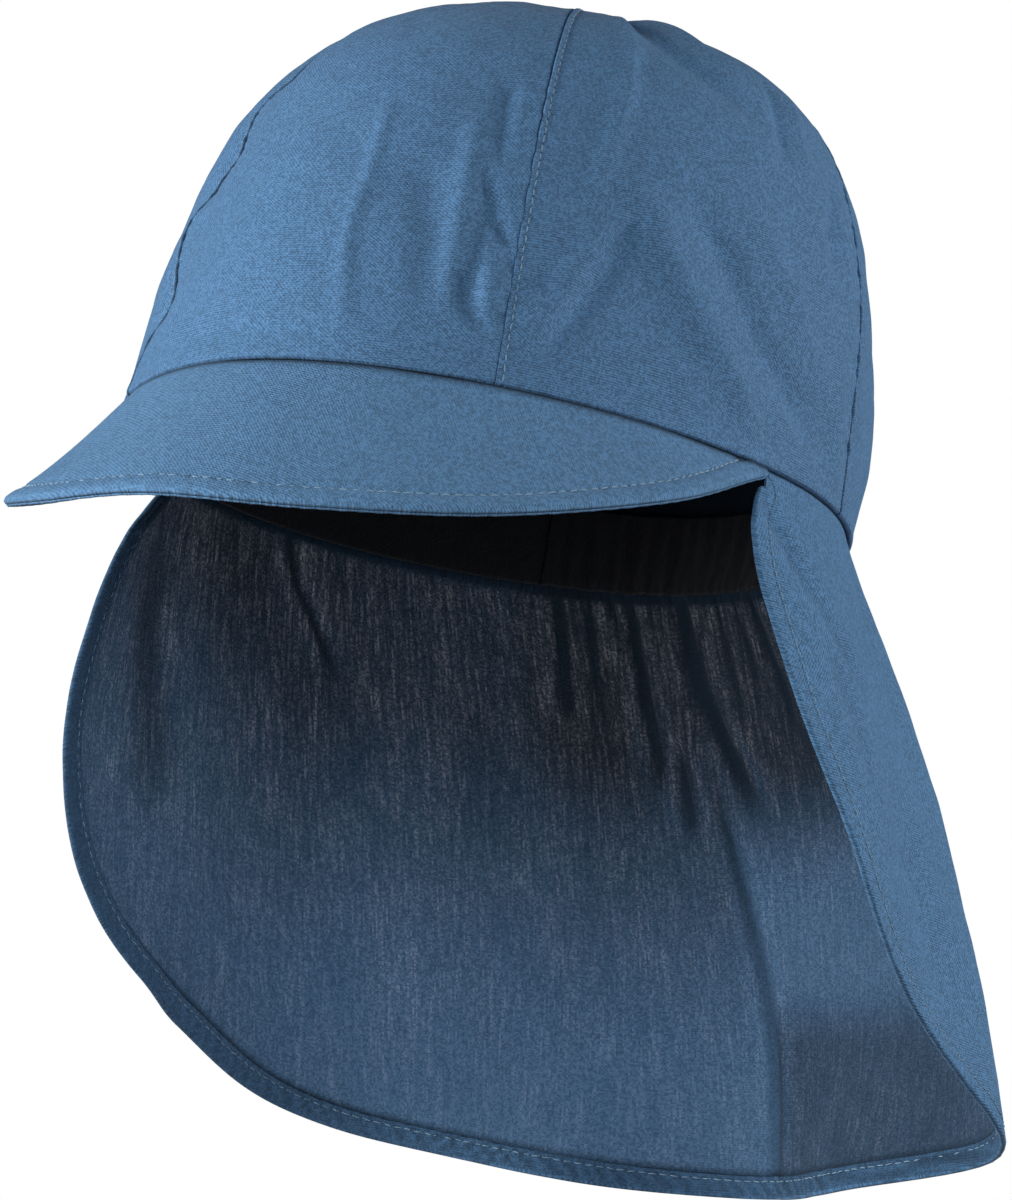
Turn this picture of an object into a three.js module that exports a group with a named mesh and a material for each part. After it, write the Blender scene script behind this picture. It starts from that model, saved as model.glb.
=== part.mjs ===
// A child's soft cotton sun cap: five crown panels, a short two-layer peak and a large neck flap.
// Millimetres. +Z is up as worn, -Y is the way the face looks, +X is the wearer's left.
// The origin is the middle of the head opening.
//
// A place on the cap is given by its turn round the head, in degrees: 0 at the front, 90 at the
// wearer's left, 180 at the back, 270 at the wearer's right. On the crown, share runs from 0 at the
// rim to 1 at the top. On the flap, down is the drop below the rim.

import * as THREE from 'three';

// Cloth
const CLOTH = 1.2;
const GAP = 0.3;
const LAYER_GAP = 0.4;
const CLOTH_ROUGHNESS = 0.85;
const BLUE = 0x54799f;
const INNER_BLUE = 0x2f4a66;
const DARK_BLUE = 0x141b24;

// Head opening: an oval ring, its front tipped up
const HALF_WIDTH = 77.5;
const FRONT_REACH = 95.5;
const BACK_REACH = 82;
const OVAL_POWER = 1.85;
const TILT = THREE.MathUtils.degToRad(16);

// Crown, measured square to the ring
const CROWN_HEIGHT = 106;
const TOP_SET_BACK = 8.5;
const TOP_SHARE = 0.99;
const CROWN_ROWS = [0, 0.05, 0.1, 0.16, 0.24, 0.34, 0.45, 0.57, 0.7, 0.84, TOP_SHARE];
const PANELS = [
  { name: 'crown_front_panel', from: -31, to: 31, columnStep: 4 },
  { name: 'crown_left_panel', from: 31, to: 103, columnStep: 5 },
  { name: 'crown_back_left_panel', from: 103, to: 180, columnStep: 6 },
  { name: 'crown_back_right_panel', from: 180, to: 257, columnStep: 6 },
  { name: 'crown_right_panel', from: 257, to: 329, columnStep: 5 },
];

// How the crown's wall rises: inward lean and height of the upright stretch, and fullness of the
// shoulder, each as a share of the crown's height or reach
const PROFILE = {
  front: { lean: 0.2, upright: 0.68, shoulder: 0.67 },
  side: { lean: -0.02, upright: 0.65, shoulder: 0.87 },
  back: { lean: -0.18, upright: 0.56, shoulder: 0.6 },
};

// Folds and dents of the crown: each follows a line from one place to another, with its half width
// and its height in millimetres, outward when positive, and fades over a share of its length
const FOLD_FADE = 0.22;
const CROWN_FOLDS = [
  { name: 'front ridge', turn: [9, 10], share: [0.28, 0.03], halfWidth: 7, height: 1.6 },
  { name: 'front ridge by the seam', turn: [21, 22], share: [0.26, 0.13], halfWidth: 4, height: 1.4 },
  { name: 'hollow by the seam', turn: [24, 29], share: [0.25, 0.12], halfWidth: 4, height: -1.6 },
  { name: 'pucker at the rim', turn: [24, 28], share: [0.1, 0.03], halfWidth: 5, height: 0.8 },
  { name: 'side drape', turn: [34, 50], share: [0.03, 0.26], halfWidth: 9, height: 1.6 },
  { name: 'hollow above the drape', turn: [42, 60], share: [0.2, 0.34], halfWidth: 8, height: -1.4 },
  { name: 'sunken top', turn: [48, 74], share: [0.7, 0.48], halfWidth: 7, height: -2.2 },
  { name: 'left rim fold', turn: [72, 79], share: [0.1, 0.01], halfWidth: 4, height: -1 },
  { name: 'left temple fold', turn: [86, 90], share: [0.2, 0.02], halfWidth: 4, height: 1 },
  { name: 'right temple fold', turn: [-60, -68], share: [0.22, 0.03], halfWidth: 7, height: 1.2 },
  { name: 'right side hollow', turn: [-84, -80], share: [0.4, 0.12], halfWidth: 10, height: -1.4 },
];

// Peak: its outer edge from the wearer's right end to the left, across, ahead of the origin and
// below it; the soft cloth sags a little more on the left
const PEAK_END = 77.5;
const PEAK_COLUMN_COUNT = 30;
const PEAK_ROW_COUNT = 4;
const PEAK_EDGE = [
  { part: -1, across: -77, ahead: 16, below: -3.4 },
  { part: -0.75, across: -79, ahead: 58, below: 0.8 },
  { part: -0.5, across: -60, ahead: 97, below: 2.2 },
  { part: -0.25, across: -33, ahead: 122, below: 2.2 },
  { part: 0, across: 0, ahead: 131, below: 1 },
  { part: 0.25, across: 33, ahead: 122, below: 4 },
  { part: 0.5, across: 62, ahead: 98, below: 5.4 },
  { part: 0.75, across: 79.5, ahead: 58, below: 2.2 },
  { part: 1, across: 77, ahead: 16, below: -3.4 },
];

// Flap: how far it stands out from the rim, 60 mm and 120 mm below it
const FLAP_INSET = 1;
const FLARE_STEP = 60;
const FLAP_FLARE = [
  { turn: 70, middle: 23, foot: 33 },
  { turn: 85, middle: 20, foot: 23 },
  { turn: 105, middle: 13, foot: 26 },
  { turn: 130, middle: 23, foot: 34 },
  { turn: 155, middle: 21, foot: 18 },
  { turn: 180, middle: 16, foot: 27 },
];

// The flap's cut edge, from the wearer's left temple to the middle of the back: its turn and its
// drop below the rim, and the turn on the rim that the cloth there hangs from
const FLAP_EDGE = [
  { turn: 79, down: 0, rim: 78.5 },
  { turn: 74.3, down: 8, rim: 79.3 },
  { turn: 71, down: 16, rim: 80.5 },
  { turn: 70, down: 31, rim: 83 },
  { turn: 74, down: 61, rim: 88 },
  { turn: 87, down: 96, rim: 96 },
  { turn: 108, down: 116, rim: 110 },
  { turn: 128, down: 129, rim: 130 },
  { turn: 157, down: 133, rim: 156 },
  { turn: 180, down: 135, rim: 180 },
];
const FLAP_FIRST_STEP = 1;
const FLAP_GATHER_STEP = 8;
const FLAP_SIDE_COLUMNS = 21;
const FLAP_ROW_COUNT = 10;

// Hem: narrow at the temples, full width from its first step on
const HEM_WIDTH = 5;
const HEM_END_WIDTH = 1;
const HEM_FIRST_STEP = 1.6;
const HEM_SHARE = 0.95;

const FLAP_FOLDS = [
  { name: 'middle crease', turn: [179, 175], down: [35, 135], halfWidth: 5, height: 2 },
  { name: 'fold below the gathers', turn: [188, 187], down: [0, 45], halfWidth: 3, height: 1.6 },
  { name: 'second fold below the gathers', turn: [175, 173], down: [8, 48], halfWidth: 3, height: 1.6 },
  { name: 'left temple drape', turn: [88, 96], down: [6, 60], halfWidth: 6, height: -1.6 },
  { name: 'left side drape', turn: [100, 112], down: [15, 90], halfWidth: 9, height: 1.8 },
  { name: 'right side drape', turn: [262, 252], down: [10, 80], halfWidth: 10, height: 1.6 },
  { name: 'right back hollow', turn: [225, 222], down: [25, 115], halfWidth: 12, height: -2 },
];

// Gathers at the back, drawn in by the elastic
const GATHER_START = 156;
const GATHER_END = 204;
const GATHER_COUNT = 9;
const COLUMNS_PER_GATHER = 4;
const GATHER_HEIGHT = 0.8;
const FLAP_GATHER_FADE = 34;
const CROWN_GATHER_FADE = 0.16;

// Band inside the rim
const BAND_HEIGHT = 24;
const CASING_RIB = 0.8;
const CLOSEST_COLUMNS = 1;

// How far to each side a surface is felt to find which way it faces, and how near its ends
const TURN_STEP = 0.5;
const SHARE_STEP = 0.005;
const DOWN_STEP = 0.5;
const ACROSS_STEP = 0.05;

const CENTRE_BACK = 180;
const up = new THREE.Vector3(0, Math.sin(TILT), Math.cos(TILT));

const ramp = (from, to, x) => THREE.MathUtils.smoothstep(x, Math.min(from, to), Math.max(from, to));

function outward(turn) {
  const angle = THREE.MathUtils.degToRad(turn);
  return new THREE.Vector3(Math.sin(angle), -Math.cos(angle), 0);
}

// Reads one column of a table smoothly between its rows, which stand in rising order of the key
function readTable(rows, key, column, at) {
  const x = THREE.MathUtils.clamp(at, rows[0][key], rows[rows.length - 1][key]);
  let i = rows.length - 2;
  while (i > 0 && rows[i][key] > x) i -= 1;
  const slope = (low, high) => (rows[high][column] - rows[low][column]) / (rows[high][key] - rows[low][key]);
  const before = slope(Math.max(i - 1, 0), i + 1);
  const after = slope(i, Math.min(i + 2, rows.length - 1));
  const width = rows[i + 1][key] - rows[i][key];
  const u = (x - rows[i][key]) / width;
  const rise = u * u * (3 - 2 * u);
  return rows[i][column] * (1 - rise) + rows[i + 1][column] * rise
    + width * u * (1 - u) * (before * (1 - u) - after * u);
}

// A table and its mirror image past its last row, so that it reads smoothly across the middle
function withMirror(rows, mirrorRow) {
  return [...rows, ...rows.slice(0, -1).reverse().map(mirrorRow)];
}

const flareTable = withMirror(FLAP_FLARE, (row) => ({ ...row, turn: 360 - row.turn }));
const edgeTable = withMirror(FLAP_EDGE, (row) => ({ ...row, turn: 360 - row.turn, rim: 360 - row.rim }))
  .map((row, step) => ({ ...row, step }));
const LAST_STEP = edgeTable.length - 1;

// How much of a fold is felt at a place: full on its line, fading to each side and at both ends
function foldShare(x, y, start, end, halfWidth) {
  const alongX = end[0] - start[0];
  const alongY = end[1] - start[1];
  const length = Math.hypot(alongX, alongY);
  const along = ((x - start[0]) * alongX + (y - start[1]) * alongY) / (length * length);
  const aside = ((x - start[0]) * alongY - (y - start[1]) * alongX) / length;
  const ends = ramp(-FOLD_FADE, FOLD_FADE, along) * (1 - ramp(1 - FOLD_FADE, 1 + FOLD_FADE, along));
  return ends * Math.exp(-((aside / halfWidth) ** 2));
}

// Even ribs where the elastic draws the cloth in, 1 on a rib's crest and -1 between ribs
function gatherWave(turn) {
  const full = THREE.MathUtils.euclideanModulo(turn, 360);
  const width = (GATHER_END - GATHER_START) / GATHER_COUNT;
  const fade = ramp(GATHER_START, GATHER_START + width, full)
    * (1 - ramp(GATHER_END - width, GATHER_END, full));
  return fade * Math.cos(((full - CENTRE_BACK) / width) * Math.PI * 2);
}

// Crown
function rimReach(turn) {
  const direction = outward(turn);
  const reach = direction.y < 0 ? FRONT_REACH : BACK_REACH;
  const across = Math.abs(direction.x / HALF_WIDTH) ** OVAL_POWER;
  const along = Math.abs(direction.y / reach) ** OVAL_POWER;
  return (across + along) ** (-1 / OVAL_POWER);
}

function profileAt(turn, column) {
  const direction = outward(turn);
  const end = direction.y < 0 ? PROFILE.front : PROFILE.back;
  const weight = direction.y * direction.y;
  return PROFILE.side[column] * (1 - weight) + end[column] * weight;
}

function crownBase(turn, share) {
  const rim = outward(turn).multiplyScalar(rimReach(turn));
  const top = new THREE.Vector3(0, TOP_SET_BACK, CROWN_HEIGHT);
  const lift = profileAt(turn, 'upright') * CROWN_HEIGHT;
  const wall = rim.clone().addScaledVector(outward(turn), -profileAt(turn, 'lean') * lift);
  wall.z = lift;
  const shoulder = top.clone().lerp(rim, profileAt(turn, 'shoulder'));
  shoulder.z = CROWN_HEIGHT;
  const point = new THREE.CubicBezierCurve3(rim, wall, shoulder, top).getPoint(share);
  return point.applyAxisAngle(new THREE.Vector3(1, 0, 0), -TILT);
}

// The outward normal of a surface given as a function of two numbers
function normalOf(surface, a, b, stepA, stepB) {
  const acrossA = surface(a + stepA, b).sub(surface(a - stepA, b));
  const acrossB = surface(a, b + stepB).sub(surface(a, b - stepB));
  return acrossA.cross(acrossB).normalize();
}

function crownFolds(turn, share) {
  const signed = THREE.MathUtils.euclideanModulo(turn + 180, 360) - 180;
  const reach = THREE.MathUtils.degToRad(HALF_WIDTH);
  const climb = CROWN_HEIGHT * 2;
  let height = GATHER_HEIGHT * gatherWave(turn) * (1 - ramp(0, CROWN_GATHER_FADE, share));
  for (const fold of CROWN_FOLDS) {
    const start = [fold.turn[0] * reach, fold.share[0] * climb];
    const end = [fold.turn[1] * reach, fold.share[1] * climb];
    height += fold.height * foldShare(signed * reach, share * climb, start, end, fold.halfWidth);
  }
  return height;
}

// A point of the crown, depth millimetres inside its outer face
function crownPoint(turn, share, depth) {
  const inner = Math.min(share, TOP_SHARE - 2 * SHARE_STEP);
  const normal = normalOf(crownBase, turn, inner, TURN_STEP, SHARE_STEP);
  return crownBase(turn, share).addScaledVector(normal, crownFolds(turn, share) - depth);
}

// Peak, a ruled sheet from the rim to its edge
function peakBase(turn, across) {
  const part = turn / PEAK_END;
  const edge = new THREE.Vector3(
    readTable(PEAK_EDGE, 'part', 'across', part),
    -readTable(PEAK_EDGE, 'part', 'ahead', part),
    -readTable(PEAK_EDGE, 'part', 'below', part),
  );
  const root = crownBase(turn, 0).addScaledVector(up, -GAP);
  return root.lerp(edge, across);
}

function peakPoint(turn, across, depth) {
  const inner = THREE.MathUtils.clamp(across, 2 * ACROSS_STEP, 1 - 2 * ACROSS_STEP);
  const side = THREE.MathUtils.clamp(turn, 4 * TURN_STEP - PEAK_END, PEAK_END - 4 * TURN_STEP);
  const normal = normalOf(peakBase, side, inner, TURN_STEP, ACROSS_STEP);
  return peakBase(turn, across).addScaledVector(normal.negate(), -depth);
}

// Flap
function flapBase(turn, down) {
  const middle = readTable(flareTable, 'turn', 'middle', turn);
  const foot = readTable(flareTable, 'turn', 'foot', turn);
  const bend = (foot - 2 * middle) / 2;
  const steps = down / FLARE_STEP;
  const reach = (middle - bend) * steps + bend * steps * steps - FLAP_INSET;
  const point = crownBase(turn, 0).addScaledVector(outward(turn), reach).addScaledVector(up, -GAP);
  point.z -= down;
  return point;
}

function flapFolds(turn, down) {
  const reach = THREE.MathUtils.degToRad(HALF_WIDTH);
  let height = GATHER_HEIGHT * gatherWave(turn) * (1 - ramp(0, FLAP_GATHER_FADE, down));
  for (const fold of FLAP_FOLDS) {
    const start = [fold.turn[0] * reach, fold.down[0]];
    const end = [fold.turn[1] * reach, fold.down[1]];
    height += fold.height * foldShare(turn * reach, down, start, end, fold.halfWidth);
  }
  return height;
}

function flapPoint(turn, down, depth) {
  const normal = normalOf(flapBase, turn, Math.max(down, 2 * DOWN_STEP), TURN_STEP, DOWN_STEP).negate();
  return flapBase(turn, down).addScaledVector(normal, flapFolds(turn, down) - depth);
}

// The turn and drop of a place on the flap's cut edge, or where its cloth leaves the rim
function edgePlace(step) {
  const turn = readTable(edgeTable, 'step', 'turn', step);
  return new THREE.Vector2(turn, readTable(edgeTable, 'step', 'down', step));
}

function rimPlace(step) {
  return new THREE.Vector2(readTable(edgeTable, 'step', 'rim', step), 0);
}

// The hem's inner edge, a hem's width inside the cut edge and running out to it at the temples
function hemPlace(step) {
  const degree = THREE.MathUtils.degToRad(HALF_WIDTH);
  const fromTemple = Math.min(step, LAST_STEP - step);
  const fullness = ramp(FLAP_FIRST_STEP, HEM_FIRST_STEP, fromTemple);
  const width = THREE.MathUtils.lerp(HEM_END_WIDTH, HEM_WIDTH, fullness);
  const along = edgePlace(step + 0.1).sub(edgePlace(step - 0.1));
  const inward = new THREE.Vector2(along.y, -along.x * degree).setLength(width);
  return edgePlace(step).add(new THREE.Vector2(inward.x / degree, inward.y));
}

// A place on the flap, from the rim at 0 to the cut edge at 1
function flapPlace(step, drop) {
  if (drop > HEM_SHARE) return hemPlace(step).lerp(edgePlace(step), (drop - HEM_SHARE) / (1 - HEM_SHARE));
  return rimPlace(step).lerp(hemPlace(step), drop / HEM_SHARE);
}

// A closed sheet of cloth: outer and inner faces on one grid of places, joined round their edges
function sheetGeometry(columns, rows, outerPoint, innerPoint) {
  const positions = [];
  const indices = [];
  const perSide = columns.length * rows.length;
  for (const pointAt of [outerPoint, innerPoint]) {
    for (const column of columns) {
      for (const row of rows) positions.push(...pointAt(column, row).toArray());
    }
  }
  const vertex = (side, i, j) => side * perSide + i * rows.length + j;
  const quad = (a, b, c, d) => indices.push(a, b, c, a, c, d);
  const lastColumn = columns.length - 1;
  const lastRow = rows.length - 1;
  for (let i = 0; i < lastColumn; i += 1) {
    for (let j = 0; j < lastRow; j += 1) {
      quad(vertex(0, i, j), vertex(0, i + 1, j), vertex(0, i + 1, j + 1), vertex(0, i, j + 1));
      quad(vertex(1, i, j), vertex(1, i, j + 1), vertex(1, i + 1, j + 1), vertex(1, i + 1, j));
    }
    quad(vertex(0, i, 0), vertex(1, i, 0), vertex(1, i + 1, 0), vertex(0, i + 1, 0));
    quad(vertex(0, i, lastRow), vertex(0, i + 1, lastRow), vertex(1, i + 1, lastRow), vertex(1, i, lastRow));
  }
  for (let j = 0; j < lastRow; j += 1) {
    quad(vertex(0, 0, j), vertex(0, 0, j + 1), vertex(1, 0, j + 1), vertex(1, 0, j));
    const end = lastColumn;
    quad(vertex(0, end, j), vertex(1, end, j), vertex(1, end, j + 1), vertex(0, end, j + 1));
  }
  const geometry = new THREE.BufferGeometry();
  geometry.setAttribute('position', new THREE.Float32BufferAttribute(positions, 3));
  geometry.setIndex(indices);
  geometry.computeVertexNormals();
  return geometry;
}

// Evenly spaced numbers, both ends included
function spaced(from, to, count) {
  return Array.from({ length: count + 1 }, (unused, i) => THREE.MathUtils.lerp(from, to, i / count));
}

// Columns close together over the gathers and wider apart beside them
function gatheredColumns(from, to, wideStep) {
  const denseFrom = Math.max(from, GATHER_START);
  const denseTo = Math.min(to, GATHER_END);
  const denseStep = (GATHER_END - GATHER_START) / (GATHER_COUNT * COLUMNS_PER_GATHER);
  const columns = [from];
  const fill = (start, end, step) => {
    const count = Math.round((end - start) / step);
    if (count > 0) columns.push(...spaced(start, end, count).slice(1));
  };
  fill(from, Math.min(denseFrom, to), wideStep);
  if (denseTo > denseFrom) fill(denseFrom, denseTo, denseStep);
  fill(Math.max(denseTo, from), to, wideStep);
  return columns;
}

function cloth(name, geometry, color) {
  const material = new THREE.MeshStandardMaterial({ color, roughness: CLOTH_ROUGHNESS, metalness: 0 });
  const mesh = new THREE.Mesh(geometry, material);
  mesh.name = name;
  return mesh;
}

// One crown panel between two seams, half a gap clear of each
function crownPanel({ name, from, to, columnStep }) {
  const columns = gatheredColumns(from, to, columnStep);
  const middle = (from + to) / 2;
  const half = (to - from) / 2;
  const trimmed = (turn, share) => {
    const fromTop = crownBase(turn, share).distanceTo(crownBase(turn + CENTRE_BACK, share)) / 2;
    const inset = THREE.MathUtils.radToDeg(GAP / fromTop);
    return middle + (turn - middle) * (1 - inset / half);
  };
  const faceAt = (depth) => (turn, share) => crownPoint(trimmed(turn, share), share, depth);
  return cloth(name, sheetGeometry(columns, CROWN_ROWS, faceAt(0), faceAt(CLOTH)), BLUE);
}

function peakLayer(name, depth, color) {
  const columns = spaced(-PEAK_END, PEAK_END, PEAK_COLUMN_COUNT);
  const rows = spaced(1, 0, PEAK_ROW_COUNT);
  const faceAt = (at) => (turn, across) => peakPoint(turn, across, at);
  return cloth(name, sheetGeometry(columns, rows, faceAt(depth), faceAt(depth + CLOTH)), color);
}

// The flap's columns from temple to temple, close together under the gathers
function flapSteps() {
  const side = spaced(FLAP_FIRST_STEP, FLAP_GATHER_STEP, FLAP_SIDE_COLUMNS);
  const back = spaced(FLAP_GATHER_STEP, LAST_STEP - FLAP_GATHER_STEP, GATHER_COUNT * COLUMNS_PER_GATHER);
  return [...side, ...back.slice(1, -1), ...side.map((step) => LAST_STEP - step).reverse()];
}

function flapSheet(name, steps, drops, depth, color) {
  const faceAt = (at) => (step, drop) => {
    const place = flapPlace(step, drop);
    return flapPoint(place.x, place.y, at);
  };
  return cloth(name, sheetGeometry(steps, drops, faceAt(depth), faceAt(depth + CLOTH)), color);
}

function neckFlap() {
  const drops = [1, ...spaced(HEM_SHARE, 0, FLAP_ROW_COUNT)];
  return flapSheet('neck_flap', flapSteps(), drops, 0, BLUE);
}

// The flap's edge turned in and stitched down: a second layer inside its border
function flapHem() {
  const steps = flapSteps().filter((step) => Math.min(step, LAST_STEP - step) > HEM_FIRST_STEP);
  return flapSheet('flap_hem', steps, [1, HEM_SHARE], CLOTH + GAP, INNER_BLUE);
}

// A stretch of the band inside the rim, ribbed over the elastic
function bandStretch(name, columns, ribHeight) {
  const riseAtRim = 3 * PROFILE.side.upright * CROWN_HEIGHT;
  const lowest = GAP / riseAtRim;
  const highest = BAND_HEIGHT / riseAtRim;
  const start = CLOTH + LAYER_GAP;
  const outer = (turn, share) => crownPoint(turn, share, start);
  const inner = (turn, share) => {
    const rib = (ribHeight * (1 + gatherWave(turn))) / 2;
    return crownPoint(turn, share, start + CLOTH + rib);
  };
  const between = CROWN_ROWS.filter((share) => share > lowest && share < highest);
  return cloth(name, sheetGeometry(columns, [lowest, ...between, highest], outer, inner), DARK_BLUE);
}

// The crown's own columns, so that the band lies evenly inside it
function bandColumns(fromTurn, toTurn) {
  const turns = PANELS.flatMap((panel) => gatheredColumns(panel.from, panel.to, panel.columnStep));
  const wrapped = turns.map((turn) => (turn > CENTRE_BACK && fromTurn < 0 ? turn - 360 : turn));
  const inside = wrapped.filter((turn) => turn > fromTurn + CLOSEST_COLUMNS && turn < toTurn - CLOSEST_COLUMNS);
  const sorted = [...new Set(inside)].sort((a, b) => a - b);
  return [fromTurn, ...sorted, toTurn];
}

const bandGap = THREE.MathUtils.radToDeg(GAP / 2 / BACK_REACH);
const cap = new THREE.Group();
cap.name = 'peaked_cap';
cap.add(
  ...PANELS.map(crownPanel),
  peakLayer('peak_top', 0, BLUE),
  peakLayer('peak_underside', CLOTH + GAP, BLUE),
  neckFlap(),
  flapHem(),
  bandStretch('inner_band', bandColumns(GATHER_END - 360 + bandGap, GATHER_START - bandGap), 0),
  bandStretch('elastic_casing', bandColumns(GATHER_START + bandGap, GATHER_END - bandGap), CASING_RIB),
);

export default cap;
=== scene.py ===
# A child's soft cotton sun cap: five crown panels, a short two-layer peak and a large neck flap.
# Sizes are in millimetres and become metres when something is made. +Z is up as worn, -Y is the way
# the face looks, +X is the wearer's left. A place on the cap is given by its turn round the head in
# degrees, 0 at the front and 90 at the wearer's left.

import math

import bpy
import numpy as np
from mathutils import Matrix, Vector


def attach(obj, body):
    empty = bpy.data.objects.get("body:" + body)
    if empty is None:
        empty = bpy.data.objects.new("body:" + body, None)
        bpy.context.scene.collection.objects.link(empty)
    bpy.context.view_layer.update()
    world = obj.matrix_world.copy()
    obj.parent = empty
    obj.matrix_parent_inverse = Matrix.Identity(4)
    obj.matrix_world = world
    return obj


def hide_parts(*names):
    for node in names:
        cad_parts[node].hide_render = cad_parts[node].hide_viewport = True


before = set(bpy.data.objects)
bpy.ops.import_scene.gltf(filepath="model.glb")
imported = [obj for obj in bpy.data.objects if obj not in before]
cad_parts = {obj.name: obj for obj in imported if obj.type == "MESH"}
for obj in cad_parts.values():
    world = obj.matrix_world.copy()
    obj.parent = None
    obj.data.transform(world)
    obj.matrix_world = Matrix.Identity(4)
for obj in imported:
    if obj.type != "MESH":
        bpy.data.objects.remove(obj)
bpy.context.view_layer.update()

# Camera: a long lens level with the flap, to the wearer's left of the face. It is aimed a little
# below the head opening, which frames the cap from the top of the crown to the flap's lowest point.
MM = 0.001
LOOK_AZIMUTH = 32.2
LOOK_ELEVATION = -1.2
LOOK_DISTANCE = 1500
AIM_RIGHT = 2.1
AIM_DOWN = 22.6
LENS = 209.6
SENSOR = 36


def view_axes(azimuth, elevation):
    """Unit vectors towards the viewer, to the viewer's right and up."""
    side, lift = math.radians(azimuth), math.radians(elevation)
    back = Vector((math.sin(side) * math.cos(lift), -math.cos(side) * math.cos(lift), math.sin(lift)))
    right = Vector((math.cos(side), math.sin(side), 0))
    return back, right, back.cross(right)


def placed(name, data):
    """Adds an object with that mesh, camera or lamp to the scene."""
    made = bpy.data.objects.new(name, data)
    bpy.context.scene.collection.objects.link(made)
    return made


def aimed(name, data, place, aim):
    """Adds a camera or lamp that stands at its place and looks at its aim."""
    made = placed(name, data)
    made.location = place
    made.rotation_mode = "QUATERNION"
    made.rotation_quaternion = (aim - made.location).to_track_quat("-Z", "Y")
    return made


look_back, look_right, look_up = view_axes(LOOK_AZIMUTH, LOOK_ELEVATION)
camera_data = bpy.data.cameras.new("photo_camera")
camera_data.lens = LENS
camera_data.sensor_width = SENSOR
camera_data.clip_end = 100
middle_of_view = (look_right * AIM_RIGHT - look_up * AIM_DOWN) * MM
camera = aimed("photo_camera", camera_data, look_back * LOOK_DISTANCE * MM, middle_of_view)
bpy.context.scene.camera = camera

# Crown: five cotton panels sewn into a soft dome on an oval head opening whose front tips up. Each
# seam's allowance is pressed back and topstitched, and the lower edge rolls over the peak.
CLOTH = 1.0
GAP = 0.3
HALF_WIDTH = 77.5
FRONT_REACH = 95.5
BACK_REACH = 82
OVAL_POWER = 1.85
TILT = math.radians(16)
RIM_UP = np.array([0, math.sin(TILT), math.cos(TILT)])
CROWN_HEIGHT = 106
CROWN_CLIMB = 2 * CROWN_HEIGHT
TOP_SET_BACK = 8.5
TOP_SHARE = 0.994
CENTRE_BACK = 180

# Length along the rim of one degree of turn, at the sides and at the back
DEGREE = math.radians(HALF_WIDTH)
BACK_DEGREE = math.radians(BACK_REACH)

# Inward lean and height of the crown's upright wall and fullness of its shoulder, as shares
PROFILE = {
    "front": {"lean": 0.2, "upright": 0.68, "shoulder": 0.67},
    "side": {"lean": -0.02, "upright": 0.65, "shoulder": 0.87},
    "back": {"lean": -0.18, "upright": 0.56, "shoulder": 0.6},
}

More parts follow.
